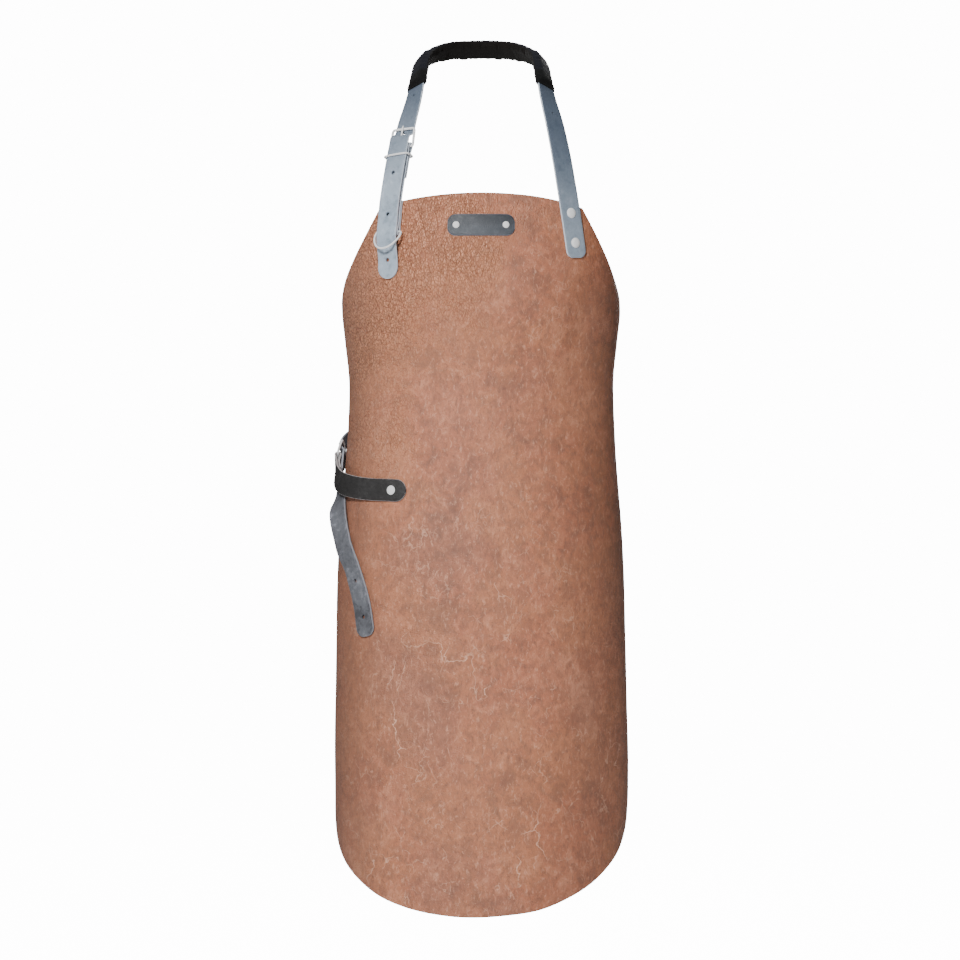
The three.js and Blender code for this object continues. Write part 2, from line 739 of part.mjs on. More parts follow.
// The hip lines: places on the torso as degrees and shares of apronHeight. The tab's line and the waist
// strap's line share the rows at the buckle.
const atBuckle = [
  { angle: -91, down: 0.3765 },
  { angle: -93.5, down: 0.371 },
  { angle: -101, down: 0.355 },
  { angle: -110, down: 0.342 },
];
const tabRows = [
  { angle: -31.6, down: 0.412 },
  { angle: -40, down: 0.411 },
  { angle: -51, down: 0.410 },
  { angle: -62, down: 0.407 },
  { angle: -73, down: 0.401 },
  { angle: -84, down: 0.390 },
  ...atBuckle,
];
const waistRows = [
  { angle: -50, down: 0.6152 },
  { angle: -54, down: 0.564 },
  { angle: -61, down: 0.521 },
  { angle: -69, down: 0.487 },
  { angle: -77, down: 0.446 },
  { angle: -83, down: 0.414 },
  { angle: -88.5, down: 0.389 },
  ...atBuckle,
  { angle: -125, down: 0.331 },
  { angle: -150, down: 0.323 },
  { angle: -180, down: 0.321 },
  { angle: -210, down: 0.323 },
  { angle: -232, down: 0.328 },
  { angle: -247, down: 0.331 },
];
const perRow = 3;
function torsoPath(rows, twist = () => 0) {
  const flat = new THREE.CatmullRomCurve3(
    rows.map(({ angle, down }) => new THREE.Vector3(angle, (down * apronHeight) / 2, 0)), false, 'centripetal',
  );
  const places = [];
  for (let i = 0; i <= (rows.length - 1) * perRow; i += 1) {
    const { x, y } = flat.getPoint(i / ((rows.length - 1) * perRow));
    places.push([x, -hangDrop - 2 * y]);
  }
  const normals = places.map(([angle, z]) => torsoNormal(angle + twist(angle), z));
  const path = new Path(places.map((at) => onTorso(...at)), normals, 4);
  path.rowAt = (angle) => path.knots[rows.findIndex((row) => row.angle === angle) * perRow];
  return path;
}

// The side tab is riveted in front and folded round the waist buckle's heel bar
const tabLine = torsoPath(tabRows);
const tabHeel = tabLine.rowAt(-93.5);
const tabRiseEnd = tabHeel - tabFoldBack;
const tabMid = profile([
  [tabRivetInset + 12, gap / 2],
  [tabRiseEnd - 8, tabHeelLift - 0.7],
  [tabHeel, tabHeelLift],
]);
const tabBlank = folded(
  tabLine, [{ at: tabHeel, away: 1, wire: buckleWire }], tabMid, [tabHeel - tabFoldBack, 0], strapWidth / 2,
);
const tabSeat = 2 * gap + strapThickness;
add('side_tab', cut(tabBlank, [
  prongSlot(tabLine, tabHeel, tabHeelLift),
  tabLine.stand(punch(shankHole, punchDepth), tabRivetInset),
]), finish.tab);
add('side_tab_rivet',
  tabLine.stand(rivet(tabRivetHead, rivetDome, tabSeat + hideThickness), tabRivetInset, 0, tabSeat),
  finish.nickel);

// The waist strap: its tail hangs from the buckle, and it runs round the back to its rivet at the right
const tailTwist = profile([[-88.5, 0], [-83, 10], [-77, 24], [-69, 13], [-61, 0]]);
const waistLine = torsoPath(waistRows, tailTwist);
const waistHeel = waistLine.rowAt(-93.5);
const insideHeel = tabHeelLift - foldOuter(buckleWire) - gap - strapThickness;
const overFarBar = tabHeelLift - buckleRise + buckleWire / 2 + gap;
const waistLift = profile([
  [waistLine.rowAt(-61), 1],
  [waistLine.rowAt(-69), 4.5],
  [waistLine.rowAt(-77), 8.5],
  [waistLine.rowAt(-83), insideHeel],
  [waistLine.rowAt(-88.5), insideHeel],
  [waistHeel, insideHeel],
  [waistHeel + buckleLength * 0.4, insideHeel - 0.4],
  [waistHeel + buckleLength * 0.8, overFarBar],
  [waistHeel + buckleLength + barClear, overFarBar],
  [waistLine.rowAt(-150), 3],
  [waistLine.rowAt(-210), 3],
  [waistLine.rowAt(-232), gap],
]);
const waistEnd = waistLine.length;
const waistRivetAt = waistEnd - waistRivetInset;
const waistBlank = strap(
  waistLine,
  stations(0, waistEnd, 8, strapWidth * 0.4, strapWidth / 2),
  strapWidth,
  strapThickness,
  waistLift,
);
const waistPunches = waistHoles.map((at) => (
  waistLine.stand(punch(strapHole, punchDepth), at, 0, waistLift(at))
));
add('waist_strap', cut(waistBlank, [
  ...waistPunches,
  waistLine.stand(punch(shankHole, punchDepth), waistRivetAt),
  prongOf(waistLine, waistHeel, tabHeelLift, -1, 2 * gap),
]), finish.strap);
add('waist_buckle', buckleFrame(waistLine, waistHeel, tabHeelLift, -1), finish.nickel);
add('waist_buckle_prong', prongOf(waistLine, waistHeel, tabHeelLift, -1), finish.nickel);
add('waist_strap_rivet',
  waistLine.stand(rivet(tabRivetHead, rivetDome, tabSeat + hideThickness), waistRivetAt, 0, tabSeat),
  finish.nickel);

// The hide, with a hole for each rivet that goes through it
const hidePunches = [
  neck.stand(punch(shankHole, punchDepth), leftRivetAt),
  ...rightRivets.map((at) => neck.stand(punch(shankHole, punchDepth), at)),
  ...labelHoles,
  tabLine.stand(punch(shankHole, punchDepth), tabRivetInset),
  waistLine.stand(punch(shankHole, punchDepth), waistRivetAt),
];
add('apron_body', cut(panelBlank, hidePunches), finish.hide);

export default apron;
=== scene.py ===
# %% [markdown]
# A leather work apron in its worn form. The hide is one curved sheet with a bib, and everything else is
# strap leather and bent nickel wire: a neck strap in a padded sleeve, a buckle, a keeper and a ring at
# the bib's corner, rivets, a bare label patch, and a waist strap that buckles under a tab at the hip.
# The frame gives each piece its place, so this scene only makes fine surfaces and finishes.

# %% The frame and its size
import json
import math

import bpy
import bmesh
import numpy as np
from mathutils import Matrix, Vector, noise

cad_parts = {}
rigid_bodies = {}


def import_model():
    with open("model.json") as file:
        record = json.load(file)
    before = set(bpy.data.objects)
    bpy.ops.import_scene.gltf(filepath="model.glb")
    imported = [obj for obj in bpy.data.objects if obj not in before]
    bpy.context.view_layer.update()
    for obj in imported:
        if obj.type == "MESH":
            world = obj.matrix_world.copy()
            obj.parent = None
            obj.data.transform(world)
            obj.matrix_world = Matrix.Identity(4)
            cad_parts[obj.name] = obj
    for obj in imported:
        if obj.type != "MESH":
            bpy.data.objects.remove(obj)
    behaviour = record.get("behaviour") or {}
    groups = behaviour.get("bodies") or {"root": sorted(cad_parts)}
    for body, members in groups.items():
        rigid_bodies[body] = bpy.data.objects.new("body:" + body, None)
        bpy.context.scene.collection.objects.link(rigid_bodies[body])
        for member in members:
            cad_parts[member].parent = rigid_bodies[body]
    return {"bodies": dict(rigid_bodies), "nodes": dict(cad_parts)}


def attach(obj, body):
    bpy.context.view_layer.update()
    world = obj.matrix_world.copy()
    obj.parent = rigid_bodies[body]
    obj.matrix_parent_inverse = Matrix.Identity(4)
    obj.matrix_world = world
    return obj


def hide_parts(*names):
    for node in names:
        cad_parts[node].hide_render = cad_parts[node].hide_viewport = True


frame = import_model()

for left_over in [o for o in bpy.data.objects if o not in [*frame["nodes"].values(), *frame["bodies"].values()]]:
    bpy.data.objects.remove(left_over)
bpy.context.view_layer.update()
MM = 0.001

# %% [markdown]
# The sizes are the ones that the apron is cut to, in millimetres. Every shape below is worked out from
# them, and only finished meshes are turned into metres, so a size reads here as it does on a cutting table.

# %% Sizes of the hide and of the body that it hangs round
APRON_HEIGHT = 798
HANG_DROP = 184
HIDE_THICKNESS = 2.0
BIB_TOP_WIDTH = 242
BIB_TOP_ARCH = 14
SIDE_WIDTH = 530
ARMHOLE_DROP = 150
ARMHOLE_BOW = 0.3
HEM_RADIUS = 250
HEM_FLAT_ANGLE = 14
HIP_WIDTH = 334
TORSO_DEPTH = 220
NECK_TO_AXIS = 65

# share of the height, width, depth, and degrees that the hide has slid round
TORSO = np.array([
    (0.00, 0.900, 0.93, 0), (0.08, 0.935, 0.98, 0), (0.15, 0.952, 1.00, 0), (0.20, 0.930, 0.94, 0),
    (0.26, 0.901, 0.88, 0), (0.34, 0.912, 0.89, 0), (0.41, 0.940, 0.93, 0), (0.49, 0.970, 0.97, 0),
    (0.60, 0.985, 0.99, -1), (0.76, 1.000, 1.00, -2), (0.90, 0.997, 0.99, -3), (1.00, 0.985, 0.97, -3),
])


def smooth(x, low, high):
    """0 below low, 1 above high, and a smooth rise between them."""
    t = min(max((x - low) / (high - low), 0.0), 1.0)
    return t * t * (3 - 2 * t)


def mix(a, b, t):
    return a + (b - a) * t


def section(z):
    """Half the body's width and depth at a height, and the turn of the hide there."""
    down = min(max((-z - HANG_DROP) / APRON_HEIGHT, 0.0), 1.0)
    i = min(max(int(np.searchsorted(TORSO[:, 0], down)), 1), len(TORSO) - 1)
    (x0, *p), (x1, *q) = TORSO[i - 1], TORSO[i]
    before = TORSO[max(i - 2, 0)]
    after = TORSO[min(i + 1, len(TORSO) - 1)]
    p, q, span = np.array(p), np.array(q), x1 - x0
    slope_in = (q - before[1:]) / (x1 - before[0])
    slope_out = (after[1:] - p) / (after[0] - x0)
    t = (down - x0) / span
    h = [2 * t**3 - 3 * t**2 + 1, t**3 - 2 * t**2 + t, -2 * t**3 + 3 * t**2, t**3 - t**2]
    wide, deep, turn = h[0] * p + h[1] * span * slope_in + h[2] * q + h[3] * span * slope_out
    return wide * HIP_WIDTH / 2, deep * TORSO_DEPTH / 2, turn


def on_torso(angle, z):
    """A point of the hide's outer face, at degrees round the body, 0 in front and 90 at +X."""
    a, b, _ = section(z)
    t = math.radians(angle)
    return Vector((a * math.sin(t), -NECK_TO_AXIS - b * math.cos(t), z))


def torso_normal(angle, z):
    round_ = on_torso(angle + 0.5, z) - on_torso(angle - 0.5, z)
    up = on_torso(angle, z + 1) - on_torso(angle, z - 1)
    return round_.cross(up).normalized()


def angle_at_girth(girth, z):
    """The angle at a given length round the body from the front."""
    a, b, _ = section(z)
    t = np.radians(np.arange(0, 181))
    steps = np.hypot(a * np.cos(t), b * np.sin(t)) * math.radians(1)
    run = np.concatenate([[0], np.cumsum((steps[1:] + steps[:-1]) / 2)])
    return float(np.interp(girth, run, np.arange(0, 181)))


def new_object(name, vertices, faces, scale=MM):
    """A mesh object at the origin, with its place in its mesh."""
    mesh = bpy.data.meshes.new(name)
    mesh.from_pydata([tuple(Vector(v) * scale) for v in vertices], [], faces)
    mesh.validate()
    obj = bpy.data.objects.new(name, mesh)
    bpy.context.scene.collection.objects.link(obj)
    return obj


def finished(obj):
    """The object with its modifiers made into plain mesh."""
    graph = bpy.context.evaluated_depsgraph_get()
    mesh = bpy.data.meshes.new_from_object(obj.evaluated_get(graph))
    obj.modifiers.clear()
    obj.data = mesh
    return obj


def shade_smooth(obj, angle=None):
    obj.data.shade_smooth()
    if angle:
        obj.data.set_sharp_from_angle(angle=math.radians(angle))
    return obj

# %% [markdown]
# A strap, a label and a rivet all sit on some line over the body. A line here is a smooth curve with a
# facing at every length along it, so a piece can be placed by how far along it is, how far across and how
# high above. Working in these three numbers keeps every piece seated on what carries it.

# %% Lines with a facing
def spline(points, share):
    """A centripetal curve through points, at a share from 0 to 1, with equal shares between points."""
    n = len(points) - 1
    x = min(max(share, 0.0), 1.0) * n
    i = min(int(x), n - 1)
    t = x - i
    p1, p2 = points[i], points[i + 1]
    p0 = points[i - 1] if i > 0 else p1 * 2 - p2
    p3 = points[i + 2] if i + 2 <= n else p2 * 2 - p1
    d1 = max((p2 - p1).length ** 0.5, 1e-4)
    d0 = (p1 - p0).length ** 0.5 or d1
    d2 = (p3 - p2).length ** 0.5 or d1
    m1 = ((p1 - p0) / d0 - (p2 - p0) / (d0 + d1) + (p2 - p1) / d1) * d1
    m2 = ((p2 - p1) / d1 - (p3 - p1) / (d1 + d2) + (p3 - p2) / d2) * d1
    a, b = 2 * t**3 - 3 * t**2, t**3 - 2 * t**2 + t
    return p1 * (a + 1) + m1 * b - p2 * a + m2 * (t**3 - t**2)


class Line:
    """A curve through points, with normals, that gives places by length, across and lift."""

    def __init__(self, points, normals, steps=12):
        n = (len(points) - 1) * steps
        self.points = [spline(points, i / n) for i in range(n + 1)]
        self.normals = [spline(normals, i / n).normalized() for i in range(n + 1)]
        self.run = [0.0]
        for p, q in zip(self.points, self.points[1:]):
            self.run.append(self.run[-1] + (q - p).length)
        self.knots = self.run[::steps]
        self.length = self.run[-1]

    def frame(self, at):
        i = min(max(int(np.searchsorted(self.run, at)), 1), len(self.run) - 1)
        t = (at - self.run[i - 1]) / (self.run[i] - self.run[i - 1])
        before, after = max(i - 2, 0), min(i + 1, len(self.run) - 1)
        along = (self.points[after] - self.points[before]).normalized()
        normal = self.normals[i - 1].lerp(self.normals[i], t)
        normal = (normal - along * normal.dot(along)).normalized()
        point = self.points[i - 1] + (self.points[i] - self.points[i - 1]) * t
        return point, along, normal, along.cross(normal)

    def place(self, at, across=0.0, lift=0.0):
        point, _, normal, side = self.frame(at)
        return point + side * across + normal * lift


def profile(rows):
    """A value that follows rows of (place, value) smoothly."""
    def value(at):
        if at <= rows[0][0]:
            return rows[0][1]
        for (x0, v0), (x1, v1) in zip(rows, rows[1:]):
            if at <= x1:
                return mix(v0, v1, smooth(at, x0, x1))
        return rows[-1][1]
    return value


# %% Sizes of the straps and the fittings
STRAP_WIDTH = 25
STRAP_THICKNESS = 2.4
GAP = 0.3
STRAP_HOLE = 4.6
STRAP_ANGLE = 40
STRAP_ANGLE_RIGHT = 42.5
STRAP_ANGLE_LEFT = 40.5
RIGHT_END_BELOW = 61
RIGHT_END_CORNER = 8
RIGHT_RIVET_BELOW = 11
RIGHT_RIVET_SPACING = 33.5
TAIL_BELOW = 84.5
TAIL_HOLES = (21, 71, 117)
WAIST_HOLES = (22, 64)
PAD_HALF_LENGTH = 163
PAD_WIDTH = 30
PAD_THICKNESS = 8.4
BUCKLE_WIRE = 2.9
BUCKLE_LENGTH = 20
BUCKLE_WIDTH = 29.5
BUCKLE_RISE = 2
PRONG_WIRE = 2.2
PRONG_PLAY = 0.2
HEEL_ABOVE = 65
FOLD_BACK = 36
TAB_FOLD_BACK = 28
KEEPER_WIRE = 2.3
KEEPER_BELOW = 13
RING_WIRE = 2.3
RING_WIDTH = 33
RING_DROP = 20
RING_BELOW = 32.5
FOLD_RIVET_BELOW = 24
LEFT_RIVET_BELOW = 5
STRAP_RIVET = 11.4
TAB_RIVET = 10.2
LABEL_RIVET = 7.4
RIVET_DOME = 1.8
LABEL_WIDTH = 74
LABEL_HEIGHT = 24
LABEL_THICKNESS = 1.6
LABEL_CORNER = 8.8
LABEL_BELOW = 35.5
LABEL_RIVET_SPACING = 54.6
TAB_RIVET_INSET = 18
TAB_HEEL_LIFT = 9
WAIST_RIVET_INSET = 14
NECK_WIDTH = 132
NECK_DEPTH = 60

# %% The neck strap's line
# out, fore, fall: shares of the neck's half width, depth and drop, or of the way to the bib; then the
# strap's outer side in degrees from the back round to the front, and how far that side looks up
NECK_BACK = [
    (0.00, 0.00, 0.000, 0, 52), (0.33, 0.05, 0.004, 20, 52), (0.64, 0.22, 0.024, 46, 50),
    (0.89, 0.56, 0.075, 72, 47), (1.00, 1.00, 0.125, 97, 42),
]
NECK_FRONT = [
    (0.14, 0.46, 0.16, 121, 33), (0.27, 0.63, 0.29, 134, 25),
    (0.50, 0.80, 0.47, 144, 15), (0.76, 0.94, 0.72, 149, 6),
]
PAD_WALL = (PAD_THICKNESS - STRAP_THICKNESS) / 2
bib_corner = angle_at_girth(BIB_TOP_WIDTH / 2, -HANG_DROP - BIB_TOP_ARCH)
bib_edge_z = -HANG_DROP - BIB_TOP_ARCH * (STRAP_ANGLE / bib_corner) ** 2


def facing(face, up):
    f, u = math.radians(face), math.radians(up)
    return Vector((math.sin(f) * math.cos(u), math.cos(f) * math.cos(u), math.sin(u)))


def half_neck_line(low_angle):
    points, normals = [], []
    for out, fore, fall, face, up in NECK_BACK:
        points.append(Vector((out * NECK_WIDTH / 2, PAD_WALL - fore * NECK_DEPTH, -fall * HANG_DROP)))
        normals.append(facing(face, up))
    shoulder, bib = points[-1], on_torso(STRAP_ANGLE, bib_edge_z)
    for out, fore, fall, face, up in NECK_FRONT:
        points.append(Vector([mix(a, b, t) for a, b, t in zip(shoulder, bib, (out, fore, fall))]))
        normals.append(facing(face, up))
    for i in range(7):
        z = bib_edge_z - i / 6 * (TAIL_BELOW + 4)
        angle = mix(STRAP_ANGLE, low_angle, min(1, i / 6 * 1.4))
        points.append(on_torso(angle, z))
        normals.append(torso_normal(angle, z))
    return points, normals


right_points, right_normals = half_neck_line(STRAP_ANGLE_RIGHT)
left_points, left_normals = half_neck_line(STRAP_ANGLE_LEFT)
flip = Vector((-1, 1, 1))
neck = Line(
    [p * flip for p in left_points[:0:-1]] + right_points,
    [n * flip for n in left_normals[:0:-1]] + right_normals,
)
edge_knot = len(NECK_BACK) + len(NECK_FRONT)
middle = neck.knots[len(left_points) - 1]
edge_reach = neck.knots[len(left_points) - 1 + edge_knot] - middle


def left(below):
    return middle - edge_reach - below


def right(below):
    return middle + edge_reach + below


heel = left(-HEEL_ABOVE)
ring_bar = left(RING_BELOW)
print("neck strap line", round(neck.length), "mm, bib edge at", round(bib_edge_z))

# %% [markdown]
# Strap leather has square cut edges that are lightly rounded, and those edges are paler than the dyed
# face. A strap is a ring of points carried along its line. Each ring remembers which of its points are on
# the cut edge, in an attribute that the material reads later, and the UV map runs along and across.

# %% Straps
EDGE_ROUND = 0.55
FACE_SHARES = (-0.72, -0.24, 0.24, 0.72)


def strap_ring(half, low, high):
    """Points (across, lift, edge) round one cross-section, with rounded corners."""
    r = min(EDGE_ROUND, half * 0.4, (high - low) * 0.4)
    ring = [(half * s, high, 0.0) for s in FACE_SHARES]
    for sx, sy, angles in ((1, 1, (90, 45, 0)), (1, -1, (0, -45, -90)), (-1, -1, (-90, -135, -180)), (-1, 1, (180, 135, 90))):
        if (sx, sy) == (-1, -1):
            ring += [(half * s, low, 0.0) for s in reversed(FACE_SHARES)]
        for a in angles:
            c, s = math.cos(math.radians(a)), math.sin(math.radians(a))
            edge = 0.15 if a in (90, -90) else 1.0
            ring.append((sx * (half - r) + r * c, (high - r if sy == 1 else low + r) + r * s, edge))
    return ring


END_ANGLES = (10, 20, 32, 45, 60, 75, 90)


def stations(start, end, spacing, round_start=0.0, round_end=0.0):
    """Lengths along a strap with what its half width loses there, close together in its round ends."""
    out = []
    for r, sign, base in ((round_start, 1, start), (round_end, -1, end)):
        tips = [(base + sign * r * (1 - math.cos(math.radians(a))), r * (1 - math.sin(math.radians(a))))
                for a in END_ANGLES] if r else [(base, 0.0)]
        out.append(tips if sign == 1 else tips[::-1])
    first, last = out[0][-1][0], out[1][0][0]
    count = max(2, round((last - first) / spacing))
    return out[0] + [(mix(first, last, i / count), 0.0) for i in range(1, count)] + out[1]


def skin(name, rings, edges=None, lengths=None):
    """A closed mesh through rings of points, with its cut edges and its length kept as attributes."""
    n = len(rings[0])
    faces = []
    for i in range(len(rings) - 1):
        for j in range(n):
            k = (j + 1) % n
            faces.append((i * n + j, i * n + k, (i + 1) * n + k, (i + 1) * n + j))
    faces.append(tuple(range(n - 1, -1, -1)))
    faces.append(tuple(range((len(rings) - 1) * n, len(rings) * n)))
    obj = new_object(name, [p for ring in rings for p in ring], faces)
    mesh = obj.data
    if edges:
        values = [v for ring in edges for v in ring]
        mesh.attributes.new("edge", "FLOAT", "POINT").data.foreach_set("value", values)
    if lengths:
        uv = mesh.uv_layers.new(name="UVMap")
        for loop in mesh.loops:
            i, j = divmod(loop.vertex_index, n)
            uv.data[loop.index].uv = (lengths[i] * MM, j / n * 2 * STRAP_WIDTH * MM)
    work = bmesh.new()
    work.from_mesh(mesh)
    bmesh.ops.recalc_face_normals(work, faces=work.faces)
    work.to_mesh(mesh)
    work.free()
    return obj


def strap(name, line, places, width, thickness, lift, wave=None):
    rings, edges = [], []
    for at, trim in places:
        half, low = width / 2 - trim, lift(at)
        ring = strap_ring(half, low, low + thickness)
        move = wave(at) if wave else 0.0
        rings.append([line.place(at, x + move, y) for x, y, _ in ring])
        edges.append([e for _, _, e in ring])
    edges[0] = edges[-1] = [1.0] * len(edges[0])
    return skin(name, rings, edges, [at for at, _ in places])


def folded(name, line, bars, mid, free_ends, round_end=0.0):
    """A strap folded round bars (at, away, wire); layers below the bar are side -1, above it side 1."""
    spread, bend_steps, rings, edges, lengths = 11, 12, [], [], []
    run_length = [0.0]

    def push(at, side, distance, tilt=0.0, trim=0.0):
        ring = strap_ring(STRAP_WIDTH / 2 - trim, distance, distance + STRAP_THICKNESS)
        s, c = side * math.sin(tilt), side * math.cos(tilt)
        rings.append([line.place(at - y * s, x, mid(at) + y * c) for x, y, _ in ring])
        edges.append([e for _, _, e in ring])
        if len(rings) > 1:
            run_length[0] += (rings[-1][0] - rings[-2][0]).length
        lengths.append(run_length[0])

    def flat(start, end, side, round_=0.0):
        places = stations(min(start, end), max(start, end), 3, round_, 0)
        for at, trim in places if start < end else places[::-1]:
            bar = min(bars, key=lambda b: abs(b[0] - at))
            push(at, side, mix(bar[2] / 2 + GAP, GAP / 2, smooth(abs(bar[0] - at), 0, spread)), 0, trim)

    def bend(bar, side):
        for i in range(1, bend_steps):
            push(bar[0], side, bar[2] / 2 + GAP, -bar[1] * side * math.pi * i / bend_steps)

    flat(free_ends[0], bars[0][0], -1)
    bend(bars[0], -1)
    if len(bars) == 2:
        flat(bars[0][0], bars[1][0], 1)
        bend(bars[1], 1)
        flat(bars[1][0], free_ends[1], -1)
    else:
        flat(bars[0][0], free_ends[1], 1, round_end)
    return skin(name, rings, edges, lengths)


def punched(obj, line, holes):
    """Cuts round holes (at, lift, diameter) through a strap."""
    for i, (at, lift, diameter) in enumerate(holes):
        point, along, normal, side = line.frame(at)
        work = bmesh.new()
        bmesh.ops.create_cone(work, cap_ends=True, segments=20, radius1=diameter / 2 * MM,
                              radius2=diameter / 2 * MM, depth=9 * MM)
        turn = Matrix((side, normal.cross(side), normal)).transposed().to_4x4()
        turn.translation = (point + normal * lift) * MM
        bmesh.ops.transform(work, matrix=turn, verts=work.verts)
        mesh = bpy.data.meshes.new("punch")
        work.to_mesh(mesh)
        work.free()
        punch = bpy.data.objects.new(f"punch_{i}", mesh)
        bpy.context.scene.collection.objects.link(punch)
        cut = obj.modifiers.new("hole", "BOOLEAN")
        cut.operation, cut.solver, cut.object = "DIFFERENCE", "EXACT", punch
    bpy.context.view_layer.update()
    finished(obj)
    for punch in [o for o in bpy.data.objects if o.name.startswith("punch_")]:
        bpy.data.objects.remove(punch)
    return obj


# %% The neck strap and the folded buckle strap
def fold_outer(bar):
    return bar / 2 + GAP + STRAP_THICKNESS


flat_mid = GAP + STRAP_THICKNESS + GAP / 2
ring_mid = GAP + fold_outer(RING_WIRE)
fold_mid = profile([(ring_bar + 2, ring_mid), (ring_bar + 16, flat_mid), (heel, flat_mid)])
head_seat = flat_mid + GAP / 2 + STRAP_THICKNESS + GAP
tail_lift = head_seat + RIVET_DOME + GAP
under_bar = flat_mid + BUCKLE_RISE - BUCKLE_WIRE / 2 - GAP - STRAP_THICKNESS
neck_lift = profile([
    (ring_bar - 38, 2 * GAP), (ring_bar - 3, ring_mid + fold_outer(RING_WIRE) + GAP),
    (ring_bar + 12, tail_lift), (heel, tail_lift), (heel + BUCKLE_LENGTH * 0.4, tail_lift + 0.4),
    (heel + BUCKLE_LENGTH * 0.8, under_bar), (heel + BUCKLE_LENGTH + 3, under_bar),
    (heel + BUCKLE_LENGTH + 30, 0), (right(-25), 0), (right(-6), GAP),
])
tip = left(TAIL_BELOW)
right_rivets = [right(RIGHT_RIVET_BELOW), right(RIGHT_RIVET_BELOW + RIGHT_RIVET_SPACING)]
neck_strap = strap(
    "neck_strap_leather", neck,
    stations(tip, right(RIGHT_END_BELOW), 3, STRAP_WIDTH / 2, RIGHT_END_CORNER),
    STRAP_WIDTH, STRAP_THICKNESS, neck_lift,
)
tail_holes = [tip + below for below in TAIL_HOLES]
pad_holes = [middle - PAD_HALF_LENGTH - 12, middle + PAD_HALF_LENGTH + 37]
PAD_HOLE = 2.8
punched(neck_strap, neck, [(at, neck_lift(at) + 1.2, PAD_HOLE if at in pad_holes else STRAP_HOLE)
                           for at in tail_holes + pad_holes]
        + [(heel + BUCKLE_LENGTH * 0.66, neck_lift(heel + BUCKLE_LENGTH * 0.66) + 1.2, 5.4)])
buckle_strap = folded(
    "buckle_strap_leather", neck, [(heel, 1, BUCKLE_WIRE), (ring_bar, -1, RING_WIRE)], fold_mid,
    (heel - FOLD_BACK, ring_bar + FOLD_BACK),
)
print("neck strap", len(neck_strap.data.polygons), "faces")

# %% [markdown]
# The two straps at the hip lie on the body's surface. Their lines are drawn flat, as degrees round the
# body and height, and are then laid on the surface. The tab and the waist strap share their rows at the
# buckle, which keeps the two straps and the wire between them on one line.

# %% The lines at the hip, and the label's
AT_BUCKLE = [(-91, 0.3765), (-93.5, 0.371), (-101, 0.355), (-110, 0.342)]
TAB_ROWS = [(-31.6, 0.412), (-40, 0.411), (-51, 0.41), (-62, 0.407), (-73, 0.401), (-84, 0.39), *AT_BUCKLE]
WAIST_ROWS = [
    (-50, 0.6152), (-54, 0.564), (-61, 0.521), (-69, 0.487), (-77, 0.446), (-83, 0.414), (-88.5, 0.389),
    *AT_BUCKLE, (-125, 0.331), (-150, 0.323), (-180, 0.321), (-210, 0.323), (-232, 0.328), (-247, 0.331),
]


def torso_line(rows, twist=lambda angle: 0, per_row=3):
    flat = [Vector((angle, down * APRON_HEIGHT / 2, 0)) for angle, down in rows]
    n = (len(rows) - 1) * per_row
    spots = [spline(flat, i / n) for i in range(n + 1)]
    places = [(p.x, -HANG_DROP - 2 * p.y) for p in spots]
    line = Line([on_torso(*p) for p in places], [torso_normal(a + twist(a), z) for a, z in places], 4)
    line.row_at = lambda angle: line.knots[[row[0] for row in rows].index(angle) * per_row]
    return line


tail_twist = profile([(-88.5, 0), (-83, 10), (-77, 24), (-69, 13), (-61, 0)])
tab_line, waist_line = torso_line(TAB_ROWS), torso_line(WAIST_ROWS, tail_twist)
label_z = -HANG_DROP - LABEL_BELOW
label_spots = range(-24, 25, 6)
level = Line([on_torso(a, label_z) for a in label_spots], [torso_normal(a, label_z) for a in label_spots])
label_middle = level.knots[4]
print("tab line", round(tab_line.length), "waist line", round(waist_line.length))

# %% Side tab and waist strap
tab_heel = tab_line.row_at(-93.5)
tab_mid = profile([
    (TAB_RIVET_INSET + 12, GAP / 2), (tab_heel - TAB_FOLD_BACK - 8, TAB_HEEL_LIFT - 0.7), (tab_heel, TAB_HEEL_LIFT),
])
tab = folded("side_tab_leather", tab_line, [(tab_heel, 1, BUCKLE_WIRE)], tab_mid,
             (tab_heel - TAB_FOLD_BACK, 0), STRAP_WIDTH / 2)

waist_heel = waist_line.row_at(-93.5)
inside_heel = TAB_HEEL_LIFT - fold_outer(BUCKLE_WIRE) - GAP - STRAP_THICKNESS
over_far_bar = TAB_HEEL_LIFT - BUCKLE_RISE + BUCKLE_WIRE / 2 + GAP
waist_lift = profile([
    (waist_line.row_at(-61), 1), (waist_line.row_at(-69), 4.5), (waist_line.row_at(-77), 8.5),
    (waist_line.row_at(-83), inside_heel), (waist_heel, inside_heel), (waist_heel + 8, inside_heel - 0.4),
    (waist_heel + 16, over_far_bar), (waist_heel + 23, over_far_bar), (waist_line.row_at(-150), 3),
    (waist_line.row_at(-210), 3), (waist_line.row_at(-232), GAP),
])
waist_strap = strap(
    "waist_strap_leather", waist_line, stations(0, waist_line.length, 4, 10, STRAP_WIDTH / 2),
    STRAP_WIDTH, STRAP_THICKNESS, waist_lift,
)
punched(waist_strap, waist_line, [(at, waist_lift(at) + 1.2, STRAP_HOLE) for at in WAIST_HOLES])

# %% [markdown]
# The buckle, keeper and ring are bent from round nickel-plated wire. Each is a round ring of points moved
# along a closed curve, with its turn carried on from step to step, so the wire never twists or pinches.

